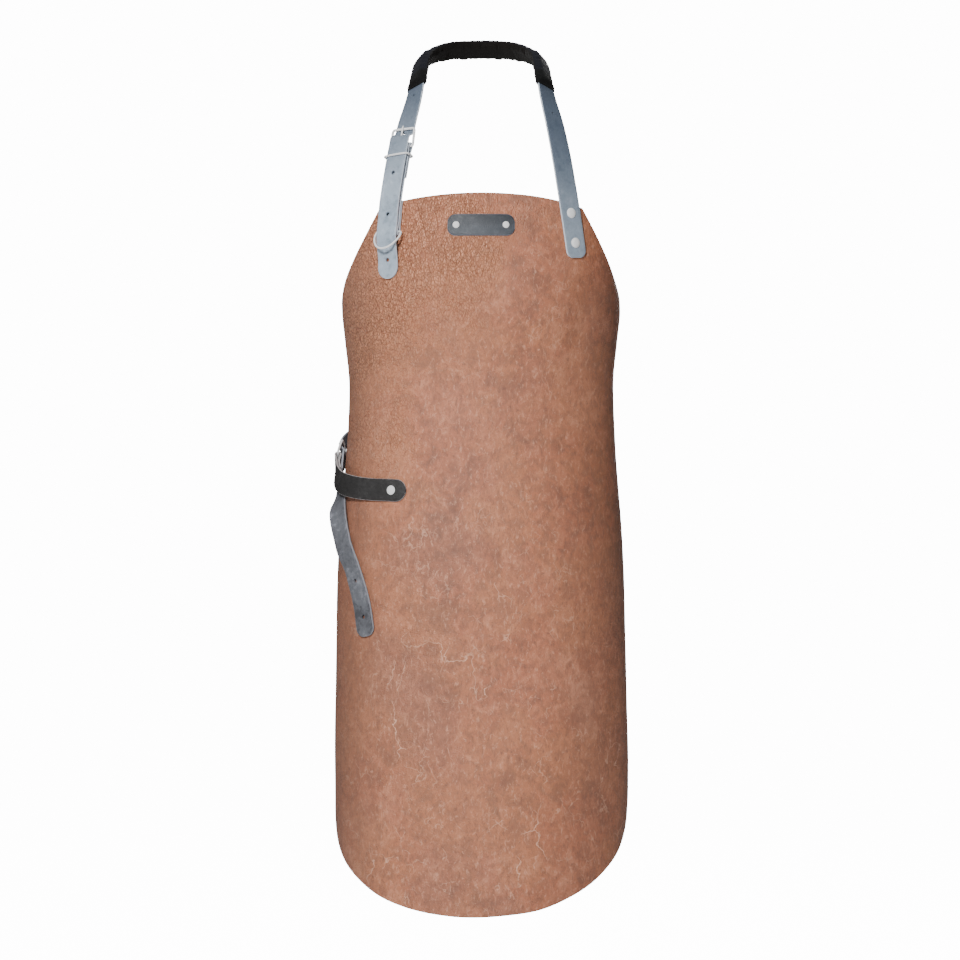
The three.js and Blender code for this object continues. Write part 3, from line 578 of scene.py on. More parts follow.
# %% Bent wire
def wire(name, points, diameter, closed, steps, sides=16, taper=None):
    """A round wire through points; taper(share) scales its thickness along an open wire."""
    n = len(points)
    if closed:
        loop = points[-3:] + points + points[:4]
        spots = [spline(loop, (3 + n * i / steps) / (len(loop) - 1)) for i in range(steps)]
    else:
        spots = [spline(points, i / steps) for i in range(steps + 1)]
    count = len(spots)
    tangents = []
    for i in range(count):
        after = spots[(i + 1) % count] if closed or i < count - 1 else spots[i]
        before = spots[i - 1] if closed or i > 0 else spots[i]
        tangents.append((after - before).normalized())
    normal = tangents[0].orthogonal().normalized()
    frames = []
    for t in tangents:
        normal = (normal - t * normal.dot(t)).normalized()
        frames.append((normal, t.cross(normal)))
    twist = 0.0
    if closed:
        back = (normal - tangents[0] * normal.dot(tangents[0])).normalized()
        first = frames[0]
        twist = -math.atan2(back.dot(first[1]), back.dot(first[0]))
    rings = []
    for i, (centre, (nx, ny)) in enumerate(zip(spots, frames)):
        turn = twist * i / count
        r = diameter / 2 * (taper(i / (count - 1)) if taper else 1)
        rings.append([centre + nx * (r * math.cos(turn + 2 * math.pi * j / sides))
                      + ny * (r * math.sin(turn + 2 * math.pi * j / sides)) for j in range(sides)])
    if not closed:
        return shade_smooth(skin(name, rings), 50)
    faces = []
    for i in range(count):
        for j in range(sides):
            k, m = (j + 1) % sides, (i + 1) % count
            faces.append((i * sides + j, i * sides + k, m * sides + k, m * sides + j))
    obj = new_object(name, [p for ring in rings for p in ring], faces)
    work = bmesh.new()
    work.from_mesh(obj.data)
    bmesh.ops.recalc_face_normals(work, faces=work.faces)
    work.to_mesh(obj.data)
    work.free()
    return shade_smooth(obj)


def buckle_frame(name, line, at, lift, side):
    points = []
    half = BUCKLE_WIDTH / 2

    def place(x, across):
        points.append(line.place(at + x, across, lift + side * BUCKLE_RISE * x / BUCKLE_LENGTH))

    for x, across, turn in ((0, half, 0), (BUCKLE_LENGTH, half, 90), (BUCKLE_LENGTH, -half, 180), (0, -half, 270)):
        corner = 2 if x == 0 else 3
        centre_x = corner if x == 0 else x - corner
        centre_across = across - corner if across > 0 else across + corner
        for step in (0, 30, 60, 90):
            a = math.radians(turn + step)
            place(centre_x - corner * math.cos(a), centre_across + corner * math.sin(a))
        if turn in (0, 180):
            place(BUCKLE_LENGTH / 2, across)
        else:
            for share in (0.5, 0, -0.5):
                place(x, math.copysign(half * share, across * share) if share else 0)
    return wire(name, points, BUCKLE_WIRE, True, 160)


def prong(name, line, at, lift, side):
    ring = BUCKLE_WIRE / 2 + PRONG_PLAY + PRONG_WIRE / 2
    top = BUCKLE_RISE + BUCKLE_WIRE / 2 + GAP / 2 + PRONG_WIRE / 2
    points = []
    for a in (-250, -215, -180, -145, -110, -75, -40, -12):
        t = math.radians(a)
        points.append(line.place(at + ring * math.sin(t), 0, lift + side * ring * math.cos(t)))
    for share in (0.3, 0.6, 0.85, 1):
        points.append(line.place(at + BUCKLE_LENGTH * share, 0, lift + side * mix(ring, top, share)))
    points.append(line.place(at + BUCKLE_LENGTH + 3, 0, lift + side * (top - 0.3)))
    return wire(name, points, PRONG_WIRE, False, 70, 12, lambda s: mix(1.0, 0.45, smooth(s, 0.93, 1.0)))


def keeper_loop():
    at = heel - KEEPER_BELOW
    half = STRAP_WIDTH / 2 + GAP + KEEPER_WIRE / 2 + 1.2
    low = flat_mid - GAP / 2 - STRAP_THICKNESS - GAP - KEEPER_WIRE / 2
    high = tail_lift + STRAP_THICKNESS + GAP + KEEPER_WIRE / 2
    corner, points = 3, []
    for sx, top in ((1, 0), (1, 1), (-1, 1), (-1, 0)):
        lift, inward = (high, -corner) if top else (low, corner)
        around = [
            (sx * (half - corner), lift), (sx * (half - corner * 0.3), lift + inward * 0.3),
            (sx * half, lift + inward),
        ]
        if (sx == 1) == (top == 1):
            around.reverse()
        for across, l in around:
            points.append(neck.place(at + across * 0.13, across, l))
    return wire("strap_keeper_wire", points, KEEPER_WIRE, True, 120)


def ring_loop():
    half = RING_WIDTH / 2
    points = [neck.place(ring_bar, half * share, ring_mid) for share in (-0.9, -0.45, 0, 0.45, 0.9)]
    for a in range(15, 166, 25):
        drop = RING_DROP * math.sin(math.radians(a))
        points.append(neck.place(ring_bar - drop, half * math.cos(math.radians(a)), ring_mid + 0.66 * drop))
    return wire("d_ring_wire", points, RING_WIRE, True, 140)


neck_buckle = buckle_frame("neck_buckle_wire", neck, heel, flat_mid, 1)
neck_prong = prong("neck_prong_wire", neck, heel, flat_mid, 1)
waist_buckle = buckle_frame("waist_buckle_wire", waist_line, waist_heel, TAB_HEEL_LIFT, -1)
waist_prong = prong("waist_prong_wire", waist_line, waist_heel, TAB_HEEL_LIFT, -1)
keeper = keeper_loop()
d_ring = ring_loop()
metal_pieces = [neck_buckle, neck_prong, waist_buckle, waist_prong, keeper, d_ring]
print("wires", [len(o.data.polygons) for o in metal_pieces])

# %% [markdown]
# The hide is one sheet of leather, so it is built as rows from the bib's top to the hem and columns from
# edge to edge, each point laid on the body. A flat sheet bends round a body but hardly stretches, so its
# relief is small: slack waves near the free edges, soft hollows at the armholes, a hem that wanders a
# little, and a slight dimple where a rivet pulls the leather in. Under the straps the relief fades out.

# %% The hide
BIB_ROWS, SIDE_ROWS, HEM_ROWS, COLUMNS = ((48, 84, 64, 150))
CORNER_Z = -HANG_DROP - BIB_TOP_ARCH
HEM_Z = -HANG_DROP - APRON_HEIGHT
HEM_DIP = HEM_RADIUS * (1 - math.cos(math.radians(HEM_FLAT_ANGLE)))
strap_spots = np.array(
    [tuple(neck.place(at)) for at in np.arange(tip, left(0), 6)]
    + [tuple(neck.place(at)) for at in np.arange(right(0), right(RIGHT_END_BELOW), 6)]
    + [tuple(tab_line.place(at)) for at in np.arange(0, tab_heel, 6)]
    + [tuple(waist_line.place(at)) for at in np.arange(0, waist_line.length, 8)]
    + [tuple(level.place(label_middle + at)) for at in range(-36, 37, 6)]
)
rivet_spots = [neck.place(at) for at in right_rivets]
rivet_spots += [tab_line.place(TAB_RIVET_INSET), waist_line.place(waist_line.length - WAIST_RIVET_INSET)]
rivet_spots += [level.place(label_middle + s * LABEL_RIVET_SPACING / 2) for s in (-1, 1)]


def edge_rows():
    """Height, half girth and dip of every row of the hide, from the bib's top to the hem."""
    rows = []
    for i in range(BIB_ROWS + 1):
        u = i / BIB_ROWS
        out = (1 - ARMHOLE_BOW) * u + ARMHOLE_BOW * u * u
        rows.append((CORNER_Z - ARMHOLE_DROP * u, mix(BIB_TOP_WIDTH, SIDE_WIDTH, out) / 2,
                     BIB_TOP_ARCH * (1 - u) ** 2))
    for i in range(1, SIDE_ROWS + 1):
        rows.append((mix(CORNER_Z - ARMHOLE_DROP, HEM_Z + HEM_RADIUS, i / SIDE_ROWS), SIDE_WIDTH / 2, 0.0))
    for i in range(1, HEM_ROWS + 1):
        a = math.radians(mix(90, HEM_FLAT_ANGLE, i / HEM_ROWS))
        rise = HEM_RADIUS * (1 - math.cos(a))
        rows.append((HEM_Z + rise, SIDE_WIDTH / 2 - HEM_RADIUS * (1 - math.sin(a)),
                     -HEM_DIP * (1 - smooth(rise, HEM_DIP, HEM_RADIUS / 2))))
    return rows


def relief(angle, z, point):
    """How far the leather stands out from the body at a place, in millimetres."""
    free = smooth(float(np.linalg.norm(strap_spots - np.array(point), axis=1).min()), 15, 50)
    down = (-z - HANG_DROP) / APRON_HEIGHT
    slow = noise.noise(Vector((angle * 0.028, z * 0.006, 3.1)))
    fine = noise.noise(Vector((angle * 0.07, z * 0.018, 8.4)))
    lower = smooth(down, 0.55, 1.0)
    out = 1.6 * slow + 0.45 * fine + lower * 1.6 * math.sin(math.radians(angle * 5.2 + 30)) * abs(slow + 0.6)
    out -= 2.6 * math.exp(-(((angle - 45 - (z + 330) * 0.05) / 7) ** 2 + ((z + 330) / 62) ** 2))
    out -= 1.8 * math.exp(-(((angle + 60) / 8) ** 2 + ((z + 345) / 45) ** 2))
    out *= free
    for spot in rivet_spots:
        near = (point - spot).length
        if near < 16:
            out -= 0.28 * math.exp(-((near / 7) ** 2))
    return out


def hide_sheet():
    rows = edge_rows()
    outer, inner, marks = [], [], []
    for k, (z, girth, dip) in enumerate(rows):
        turn = section(z)[2]
        wrap = angle_at_girth(girth, z)
        for j in range(COLUMNS + 1):
            share = 2 * j / COLUMNS - 1
            share = mix(share, math.sin(share * math.pi / 2), 0.25)
            height = z + dip * (1 - share * share)
            angle = turn + wrap * share
            rim = smooth(abs(share), 0.9, 1.0)
            wander = 1.1 * noise.noise(Vector((angle * 0.05, 5.0, 0))) * smooth(k, 0.8 * len(rows), len(rows))
            point = on_torso(angle, height + wander)
            normal = torso_normal(angle, height + wander)
            out = relief(angle, height, point)
            out += rim * 1.2 * noise.noise(Vector((z * 0.02, share, 1.7))) - rim * 0.4
            outer.append(point + normal * out)
            inner.append(point + normal * (out - HIDE_THICKNESS))
            marks.append((angle, height))
    return rows, outer, inner, marks


rows, outer, inner, marks = hide_sheet()
across = COLUMNS + 1
count = len(outer)


def on_rim(i):
    k, j = divmod(i, across)
    return k in (0, len(rows) - 1) or j in (0, COLUMNS)


ring = [j for j in range(across)]
ring += [k * across + COLUMNS for k in range(1, len(rows))]
ring += [(len(rows) - 1) * across + j for j in range(COLUMNS - 1, -1, -1)]
ring += [k * across for k in range(len(rows) - 2, 0, -1)]
faces = []
for k in range(len(rows) - 1):
    for j in range(COLUMNS):
        a, b = k * across + j, k * across + j + 1
        c, d = b + across, a + across
        faces.append((a, d, c, b))
        faces.append((count + a, count + b, count + c, count + d))
centre_ring = []
for i in ring:
    centre_ring.append(len(outer) + len(inner) + len(centre_ring))
rim_points = []
for n, i in enumerate(ring):
    before, after = outer[ring[n - 1]], outer[ring[(n + 1) % len(ring)]]
    normal = (outer[i] - inner[i]).normalized()
    away = (after - before).normalized().cross(normal)
    rim_points.append((outer[i] + inner[i]) / 2 - away * 0.75)
for n, i in enumerate(ring):
    m = (n + 1) % len(ring)
    a, b = i, ring[m]
    faces.append((a, b, 2 * count + m, 2 * count + n))
    faces.append((2 * count + n, 2 * count + m, count + b, count + a))
hide = new_object("hide_leather", outer + inner + rim_points, faces)
work = bmesh.new()
work.from_mesh(hide.data)
bmesh.ops.recalc_face_normals(work, faces=work.faces)
work.to_mesh(hide.data)
work.free()
edge = np.zeros(len(hide.data.vertices), np.float32)
edge[2 * count:] = 1.0
for i in ring:
    edge[i] = edge[count + i] = 0.75
hide.data.attributes.new("edge", "FLOAT", "POINT").data.foreach_set("value", edge)
back = np.zeros(len(hide.data.vertices), np.float32)
back[count:2 * count] = 1.0
back[2 * count:] = 0.5
hide.data.attributes.new("flesh", "FLOAT", "POINT").data.foreach_set("value", back)
shade_smooth(hide, 60)
print("hide", len(hide.data.polygons), "faces, edge points", len(ring))

# %% The label patch, bare
label = strap(
    "label_leather", level,
    stations(label_middle - LABEL_WIDTH / 2, label_middle + LABEL_WIDTH / 2, 3, LABEL_CORNER, LABEL_CORNER),
    LABEL_HEIGHT, LABEL_THICKNESS, lambda at: GAP,
)
for piece in (neck_strap, buckle_strap, tab, waist_strap, label):
    shade_smooth(piece, 42)

# %% [markdown]
# The rivets repeat one shape in three head sizes, so a Geometry Nodes tree copies one turned head and one
# turned cap onto points, each point with its facing and its size. The points could be typed as objects by
# hand, but a tree keeps all heads alike and follows the straps when a size changes.

# %% Rivets
def turned(name, outline, segments=48):
    """A closed solid turned round Z from (radius, height) rows that start and end on the axis."""
    vertices = [(0, 0, outline[0][1])]
    for r, z in outline[1:-1]:
        vertices += [(r * math.cos(2 * math.pi * j / segments), r * math.sin(2 * math.pi * j / segments), z)
                     for j in range(segments)]
    vertices.append((0, 0, outline[-1][1]))
    faces, last = [], len(vertices) - 1
    for j in range(segments):
        k = (j + 1) % segments
        faces.append((0, 1 + k, 1 + j))
        faces.append((last, last - segments + j, last - segments + k))
        for i in range(len(outline) - 3):
            a, b = 1 + i * segments, 1 + (i + 1) * segments
            faces.append((a + j, a + k, b + k, b + j))
    obj = new_object(name, vertices, faces)
    return shade_smooth(obj, 40)


R = STRAP_RIVET / 2
head_mesh = turned("rivet_head_source", [
    (0, -5.0), (1.7, -5.0), (1.7, 0.0), (R * 0.97, 0.0), (R, 0.2), (R, 0.45), (R * 0.97, 0.62),
    (R * 0.9, 0.75), (R * 0.8, 1.15), (R * 0.65, 1.48), (R * 0.45, 1.7), (R * 0.22, 1.79), (0, RIVET_DOME),
])
cap_mesh = turned("rivet_cap_source", [
    (0, -0.9), (R * 0.6, -0.9), (R * 0.74, -0.75), (R * 0.8, -0.45), (R * 0.8, -0.1), (R * 0.76, 0.0), (0, 0.0),
])
rivet_rows = [(neck, left(LEFT_RIVET_BELOW), 0, head_seat, STRAP_RIVET, head_seat - 2 * GAP),
              (neck, heel - FOLD_RIVET_BELOW, 0, head_seat, STRAP_RIVET, None)]
rivet_rows += [(neck, at, 0, 2 * GAP + STRAP_THICKNESS, STRAP_RIVET, 0) for at in right_rivets]
rivet_rows += [(tab_line, TAB_RIVET_INSET, 0, 2 * GAP + STRAP_THICKNESS, TAB_RIVET, 0),
               (waist_line, waist_line.length - WAIST_RIVET_INSET, 0, 2 * GAP + STRAP_THICKNESS, TAB_RIVET, 0)]
rivet_rows += [(level, label_middle + s * LABEL_RIVET_SPACING / 2, 0, 2 * GAP + LABEL_THICKNESS, LABEL_RIVET, 0)
               for s in (-1, 1)]
points, looks, sizes, kinds = [], [], [], []
for line, at, across_, seat, diameter, _ in rivet_rows:
    normal = line.frame(at)[2]
    on_hide = seat != head_seat or at == left(LEFT_RIVET_BELOW)
    below = -HIDE_THICKNESS - 0.9 if on_hide else -GAP
    for lift, kind in ((seat - 0.1, 0), (below, 1)):
        points.append(line.place(at, across_, lift))
        looks.append(normal)
        sizes.append(diameter / STRAP_RIVET)
        kinds.append(kind)
rivets = new_object("rivets_nickel", points, [])
for name, kind, values in (("look", "FLOAT_VECTOR", [c for v in looks for c in v]), ("size", "FLOAT", sizes),
                           ("cap", "BOOLEAN", kinds)):
    layer = rivets.data.attributes.new(name, kind, "POINT")
    layer.data.foreach_set("vector" if kind == "FLOAT_VECTOR" else "value", values)

tree = bpy.data.node_groups.new("rivets_on_points", "GeometryNodeTree")
for name, kind in (("Geometry", "NodeSocketGeometry"), ("Head", "NodeSocketObject"), ("Cap", "NodeSocketObject"),
                   ("Metal", "NodeSocketMaterial")):
    tree.interface.new_socket(name, in_out="INPUT", socket_type=kind)
tree.interface.new_socket("Geometry", in_out="OUTPUT", socket_type="NodeSocketGeometry")


def geo(kind, **values):
    node = tree.nodes.new(kind)
    for key, value in values.items():
        setattr(node, key, value)
    return node


entry, exit_ = geo("NodeGroupInput"), geo("NodeGroupOutput")
link = tree.links.new
attributes = {}
for name, kind in (("look", "FLOAT_VECTOR"), ("size", "FLOAT"), ("cap", "BOOLEAN")):
    attributes[name] = geo("GeometryNodeInputNamedAttribute", data_type=kind)
    attributes[name].inputs["Name"].default_value = name
aim = geo("FunctionNodeAlignRotationToVector", axis="Z")
link(attributes["look"].outputs["Attribute"], aim.inputs["Vector"])
is_head = geo("FunctionNodeBooleanMath", operation="NOT")
link(attributes["cap"].outputs["Attribute"], is_head.inputs[0])
join = geo("GeometryNodeJoinGeometry")
for source, chosen in (("Head", is_head.outputs[0]), ("Cap", attributes["cap"].outputs["Attribute"])):
    info = geo("GeometryNodeObjectInfo", transform_space="ORIGINAL")
    link(entry.outputs[source], info.inputs["Object"])
    copies = geo("GeometryNodeInstanceOnPoints")
    link(entry.outputs["Geometry"], copies.inputs["Points"])
    link(chosen, copies.inputs["Selection"])
    link(info.outputs["Geometry"], copies.inputs["Instance"])
    link(aim.outputs["Rotation"], copies.inputs["Rotation"])
    link(attributes["size"].outputs["Attribute"], copies.inputs["Scale"])
    link(copies.outputs["Instances"], join.inputs["Geometry"])
real = geo("GeometryNodeRealizeInstances")
paint = geo("GeometryNodeSetMaterial")
link(join.outputs["Geometry"], real.inputs["Geometry"])
link(real.outputs["Geometry"], paint.inputs["Geometry"])
link(entry.outputs["Metal"], paint.inputs["Material"])
link(paint.outputs["Geometry"], exit_.inputs["Geometry"])
nickel = bpy.data.materials.new("nickel")
modifier = rivets.modifiers.new("rivets", "NODES")
modifier.node_group = tree
inputs = {item.name: item.identifier for item in tree.interface.items_tree if item.in_out == "INPUT"}
modifier[inputs["Head"]] = head_mesh
modifier[inputs["Cap"]] = cap_mesh
modifier[inputs["Metal"]] = nickel
bpy.context.view_layer.update()
finished(rivets)
for source in (head_mesh, cap_mesh):
    bpy.data.objects.remove(source)
shade_smooth(rivets, 40)
print("rivets", len(rivet_rows), "with", len(rivets.data.polygons), "faces")

# %% [markdown]
# The neck pad is a fabric sleeve over foam round the strap. It starts as a slightly small closed tube, and
# cloth under a little pressure puffs it out between its two side seams, which are drawn tight and pucker.
# A plain swept tube would look like moulded plastic, because its seams would have no pull.

# %% Neck pad
PAD_STEP = 2.2
pad_count = round(2 * PAD_HALF_LENGTH / PAD_STEP)
PAD_RING = 48


def pad_ring_point(j, half, reach, round_across, round_up):
    """A point (across, lift) of a flat oval round the strap; smaller rounds make it squarer."""
    t = 2 * math.pi * j / PAD_RING
    c, s = math.cos(t), math.sin(t)
    x = half * math.copysign(abs(c) ** round_across, c)
    y = reach * math.copysign(abs(s) ** round_up, s)
    return x, y + STRAP_THICKNESS / 2


pad_rings, slot_rings, pad_lengths = [], [], []
for i in range(pad_count + 1):
    at = middle + mix(-PAD_HALF_LENGTH, PAD_HALF_LENGTH, i / pad_count)
    end = min(i, pad_count - i) / pad_count * 2 * PAD_HALF_LENGTH
    close = smooth(end, 0, 6)
    reach = mix(STRAP_THICKNESS / 2 + 1.7, PAD_THICKNESS / 2 - 0.3, close)
    half = PAD_WIDTH / 2 - mix(0.9, 0.4, close)
    pad_lengths.append(at)
    pad_rings.append([neck.place(at, *pad_ring_point(j, half, reach, 0.72, 0.62)) for j in range(PAD_RING)])
    slot = (STRAP_WIDTH / 2 + 0.5, STRAP_THICKNESS / 2 + 0.5, 0.3, 0.3)
    slot_rings.append([neck.place(at, *pad_ring_point(j, *slot)) for j in range(PAD_RING)])
n = PAD_RING
total = (pad_count + 1) * n
faces = []
for i in range(pad_count):
    for j in range(n):
        k = (j + 1) % n
        faces.append((i * n + j, i * n + k, (i + 1) * n + k, (i + 1) * n + j))
        faces.append((total + i * n + k, total + i * n + j, total + (i + 1) * n + j, total + (i + 1) * n + k))
for j in range(n):
    k = (j + 1) % n
    faces.append((j, total + j, total + k, k))
    faces.append((pad_count * n + k, total + pad_count * n + k, total + pad_count * n + j, pad_count * n + j))
pad = new_object("neck_pad_fabric", [p for r in pad_rings for p in r] + [p for r in slot_rings for p in r], faces)
work = bmesh.new()
work.from_mesh(pad.data)
bmesh.ops.recalc_face_normals(work, faces=work.faces)
work.to_mesh(pad.data)
work.free()
start = np.array([tuple(v.co) for v in pad.data.vertices])

seam_pull = np.zeros(len(start))
for i in range(pad_count + 1):
    at = pad_lengths[i]
    for j in range(n):
        seam_pull[i * n + j] = math.exp(-((math.sin(2 * math.pi * j / n) / 0.22) ** 2))
SIM_SCALE = 20
moved = np.zeros_like(start)
tube_faces = [(i * n + j, i * n + (j + 1) % n, (i + 1) * n + (j + 1) % n, (i + 1) * n + j)
              for i in range(pad_count) for j in range(n)]
tube = new_object("pad_cloth", [p for r in pad_rings for p in r], tube_faces, MM * SIM_SCALE)
work = bmesh.new()
work.from_mesh(tube.data)
bmesh.ops.recalc_face_normals(work, faces=work.faces)
work.to_mesh(tube.data)
work.free()
held = tube.vertex_groups.new(name="held")
held.add([i * n + j for i in (0, 1, pad_count - 1, pad_count) for j in range(n)], 1.0, "REPLACE")
for i in range(2, pad_count - 1):
    held.add([i * n, i * n + n // 2], 0.5 if i % 4 else 0.95, "REPLACE")
tight = tube.vertex_groups.new(name="tight")
for v in range(total):
    tight.add([v], float(seam_pull[v]), "REPLACE")
cloth = tube.modifiers.new("cloth", "CLOTH")
settings = cloth.settings
settings.quality = 6
settings.use_pressure = True
settings.uniform_pressure_force = 5
settings.bending_stiffness = 0.1
settings.vertex_group_mass = "held"
settings.vertex_group_shrink = "tight"
settings.shrink_min = -0.05
settings.shrink_max = 0.08
settings.effector_weights.gravity = 0
cloth.collision_settings.use_collision = False
for step in range(1, 21):
    bpy.context.scene.frame_set(step)
finished(tube)
bpy.context.scene.frame_set(1)
puffed = np.array([tuple(v.co) for v in tube.data.vertices]) / SIM_SCALE
bpy.data.objects.remove(tube)
shift = puffed - start[:total]
length = np.linalg.norm(shift, axis=1)
print("pad cloth moved up to", round(float(length.max()) * 1000, 2), "mm")
moved[:total] = shift * np.minimum(1, 0.0022 / np.maximum(length, 1e-9))[:, None]
for i in range(pad_count + 1):
    at = pad_lengths[i]
    point, along, normal, side = neck.frame(at)
    for j in range(n):
        v = i * n + j
        t = 2 * math.pi * j / n
        pleat = noise.noise(Vector((at * 0.32, math.copysign(4, math.cos(t)), 0))) * seam_pull[v]
        crease = noise.noise(Vector((at * 0.11, math.sin(t) * 1.2, 7.0 + math.copysign(2, math.sin(t)))))
        outward = (side * math.cos(t) + normal * math.sin(t)).normalized()
        moved[v] += np.array(outward * (1.3 * pleat + 0.6 * crease) * MM)
pad.data.vertices.foreach_set("co", (start + moved).astype(np.float32).ravel())
seam = pad.data.attributes.new("edge", "FLOAT", "POINT")
seam.data.foreach_set("value", seam_pull.astype(np.float32))
inner_face = np.zeros(2 * total, np.float32)
for i in range(pad_count + 1):
    for j in range(n):
        inner_face[i * n + j] = smooth(-math.sin(2 * math.pi * j / n), -0.1, 0.1)
pad.data.attributes.new("flesh", "FLOAT", "POINT").data.foreach_set("value", inner_face)
along_pad = np.repeat([(a - middle) / PAD_HALF_LENGTH for a in pad_lengths], n)
pad.data.attributes.new("along", "FLOAT", "POINT").data.foreach_set(
    "value", np.concatenate([along_pad, along_pad]).astype(np.float32))
shade_smooth(pad, 65)
print("pad", len(pad.data.polygons), "faces")

# %% [markdown]
# Every leather here shares three effects, so each is a node group: a pebbled grain with fine creases, a
# slow cloudiness of the dye, and pale worn edges. The straps and the hide use them with other numbers.
# A photograph of leather would repeat and would fix the light into it; these follow the piece's own
# coordinates, so no seam shows and the grain keeps its real size.

# %% Shader node groups
def group(name, inputs, outputs):
    tree = bpy.data.node_groups.new(name, "ShaderNodeTree")
    for label_, kind, value in inputs:
        socket = tree.interface.new_socket(label_, in_out="INPUT", socket_type=kind)
        if value is not None:
            socket.default_value = value
    for label_, kind in outputs:
        tree.interface.new_socket(label_, in_out="OUTPUT", socket_type=kind)
    return tree, tree.nodes.new("NodeGroupInput"), tree.nodes.new("NodeGroupOutput")


class Nodes:
    """Short calls for the nodes used below, in one tree."""

    def __init__(self, tree):
        self.tree = tree

    def node(self, kind, sockets=None, **values):
        node = self.tree.nodes.new(kind)
        for key, value in values.items():
            setattr(node, key, value)
        for key, value in (sockets or {}).items():
            self.put(value, node.inputs[key])
        return node

    def put(self, value, socket):
        if isinstance(value, bpy.types.NodeSocket):
            self.tree.links.new(value, socket)
        else:
            socket.default_value = value

    def math(self, operation, a, b=0.0, clamp=False):
        node = self.node("ShaderNodeMath", {0: a, 1: b}, operation=operation, use_clamp=clamp)
        return node.outputs[0]

    def span(self, value, low, high, to_low=0.0, to_high=1.0, kind="SMOOTHSTEP"):
        node = self.node("ShaderNodeMapRange", {
            "Value": value, "From Min": low, "From Max": high, "To Min": to_low, "To Max": to_high,
        }, interpolation_type=kind)
        return node.outputs[0]

    def blend(self, share, a, b, mode="MIX"):
        node = self.node("ShaderNodeMix", {0: share}, data_type="RGBA", blend_type=mode)
        self.put(a, node.inputs[6])
        self.put(b, node.inputs[7])
        return node.outputs[2]

    def noise(self, vector, scale, detail=3.0, roughness=0.55, distortion=0.0):
        return self.node("ShaderNodeTexNoise", {
            "Vector": vector, "Scale": scale, "Detail": detail, "Roughness": roughness, "Distortion": distortion,
        }).outputs[0]

    def cells(self, vector, scale, feature="F1"):
        return self.node("ShaderNodeTexVoronoi", {"Vector": vector, "Scale": scale}, feature=feature).outputs[0]


FLOAT, VECTOR, COLOR = "NodeSocketFloat", "NodeSocketVector", "NodeSocketColor"

grain_group, entry, exit_ = group("leather_grain", [
    ("Vector", VECTOR, None), ("Pebble size", FLOAT, 1.0), ("Crease", FLOAT, 0.5),
], [("Height", FLOAT), ("Valley", FLOAT)])
g = Nodes(grain_group)
bend_ = g.node("ShaderNodeTexNoise", {"Vector": entry.outputs["Vector"], "Scale": 90.0, "Detail": 2.0})
offset = g.node("ShaderNodeVectorMath", {0: bend_.outputs[1]}, operation="SCALE")
offset.inputs["Scale"].default_value = 0.0035
place = g.node("ShaderNodeVectorMath", {0: entry.outputs["Vector"], 1: offset.outputs[0]}, operation="ADD").outputs[0]
scale = g.math("DIVIDE", 1000.0, entry.outputs["Pebble size"])
pebble = g.span(g.cells(place, scale, "DISTANCE_TO_EDGE"), 0.0, 0.2)
coarse = g.span(g.cells(place, g.math("MULTIPLY", scale, 0.37), "DISTANCE_TO_EDGE"), 0.0, 0.12)
pores = g.noise(place, g.math("MULTIPLY", scale, 2.6), 2.0)
height = g.math("ADD", g.math("MULTIPLY", pebble, 0.6), g.math("MULTIPLY", pores, 0.25))
height = g.math("ADD", height, g.math("MULTIPLY", g.math("MULTIPLY", coarse, entry.outputs["Crease"]), 0.8))
g.put(height, exit_.inputs["Height"])
g.put(g.math("SUBTRACT", 1.0, g.math("MULTIPLY", pebble, g.span(coarse, 0, 1, 0.6, 1.0))), exit_.inputs["Valley"])

cloud_group, entry, exit_ = group("dye_clouds", [
    ("Vector", VECTOR, None), ("Size", FLOAT, 1.0), ("Deep", COLOR, None), ("Main", COLOR, None),
    ("Pale", COLOR, None),
], [("Color", COLOR), ("Share", FLOAT)])
g = Nodes(cloud_group)
scale = g.math("DIVIDE", 9.0, entry.outputs["Size"])
slow = g.noise(entry.outputs["Vector"], scale, 6.0, 0.62, 0.25)
quick_ = g.noise(entry.outputs["Vector"], g.math("MULTIPLY", scale, 5.5), 6.0, 0.68, 0.4)
share = g.math("ADD", g.math("MULTIPLY", slow, 0.55), g.math("MULTIPLY", quick_, 0.45))
tint = g.blend(g.span(share, 0.36, 0.5), entry.outputs["Deep"], entry.outputs["Main"])
tint = g.blend(g.span(share, 0.5, 0.66), tint, entry.outputs["Pale"])
g.put(tint, exit_.inputs["Color"])
g.put(share, exit_.inputs["Share"])

wear_group, entry, exit_ = group("edge_wear", [
    ("Vector", VECTOR, None), ("Color", COLOR, None), ("Edge color", COLOR, None), ("Amount", FLOAT, 1.0),
], [("Color", COLOR), ("Mask", FLOAT)])
g = Nodes(wear_group)
edge_value = g.node("ShaderNodeAttribute", attribute_name="edge").outputs["Fac"]
rough = g.noise(entry.outputs["Vector"], 260.0, 3.0, 0.6)
mask = g.math("ADD", edge_value, g.span(rough, 0.3, 0.7, -0.3, 0.3, "LINEAR"))
mask = g.math("MULTIPLY", g.span(mask, 0.3, 0.85), entry.outputs["Amount"])
g.put(g.blend(mask, entry.outputs["Color"], entry.outputs["Edge color"]), exit_.inputs["Color"])
g.put(mask, exit_.inputs["Mask"])
print("shader groups", [t.name for t in bpy.data.node_groups if t.type == "SHADER"])


# %% Materials
def srgb(r, g_, b):
    """A colour read as eye values from 0 to 255, as the shader wants it."""
    return tuple((v / 255 / 12.92 if v < 11 else ((v / 255 + 0.055) / 1.055) ** 2.4) for v in (r, g_, b)) + (1.0,)


def material(name):
    m = bpy.data.materials.get(name) or bpy.data.materials.new(name)
    m.use_nodes = True
    n = Nodes(m.node_tree)
    shader = next(x for x in m.node_tree.nodes if x.type == "BSDF_PRINCIPLED")
    return m, n, shader


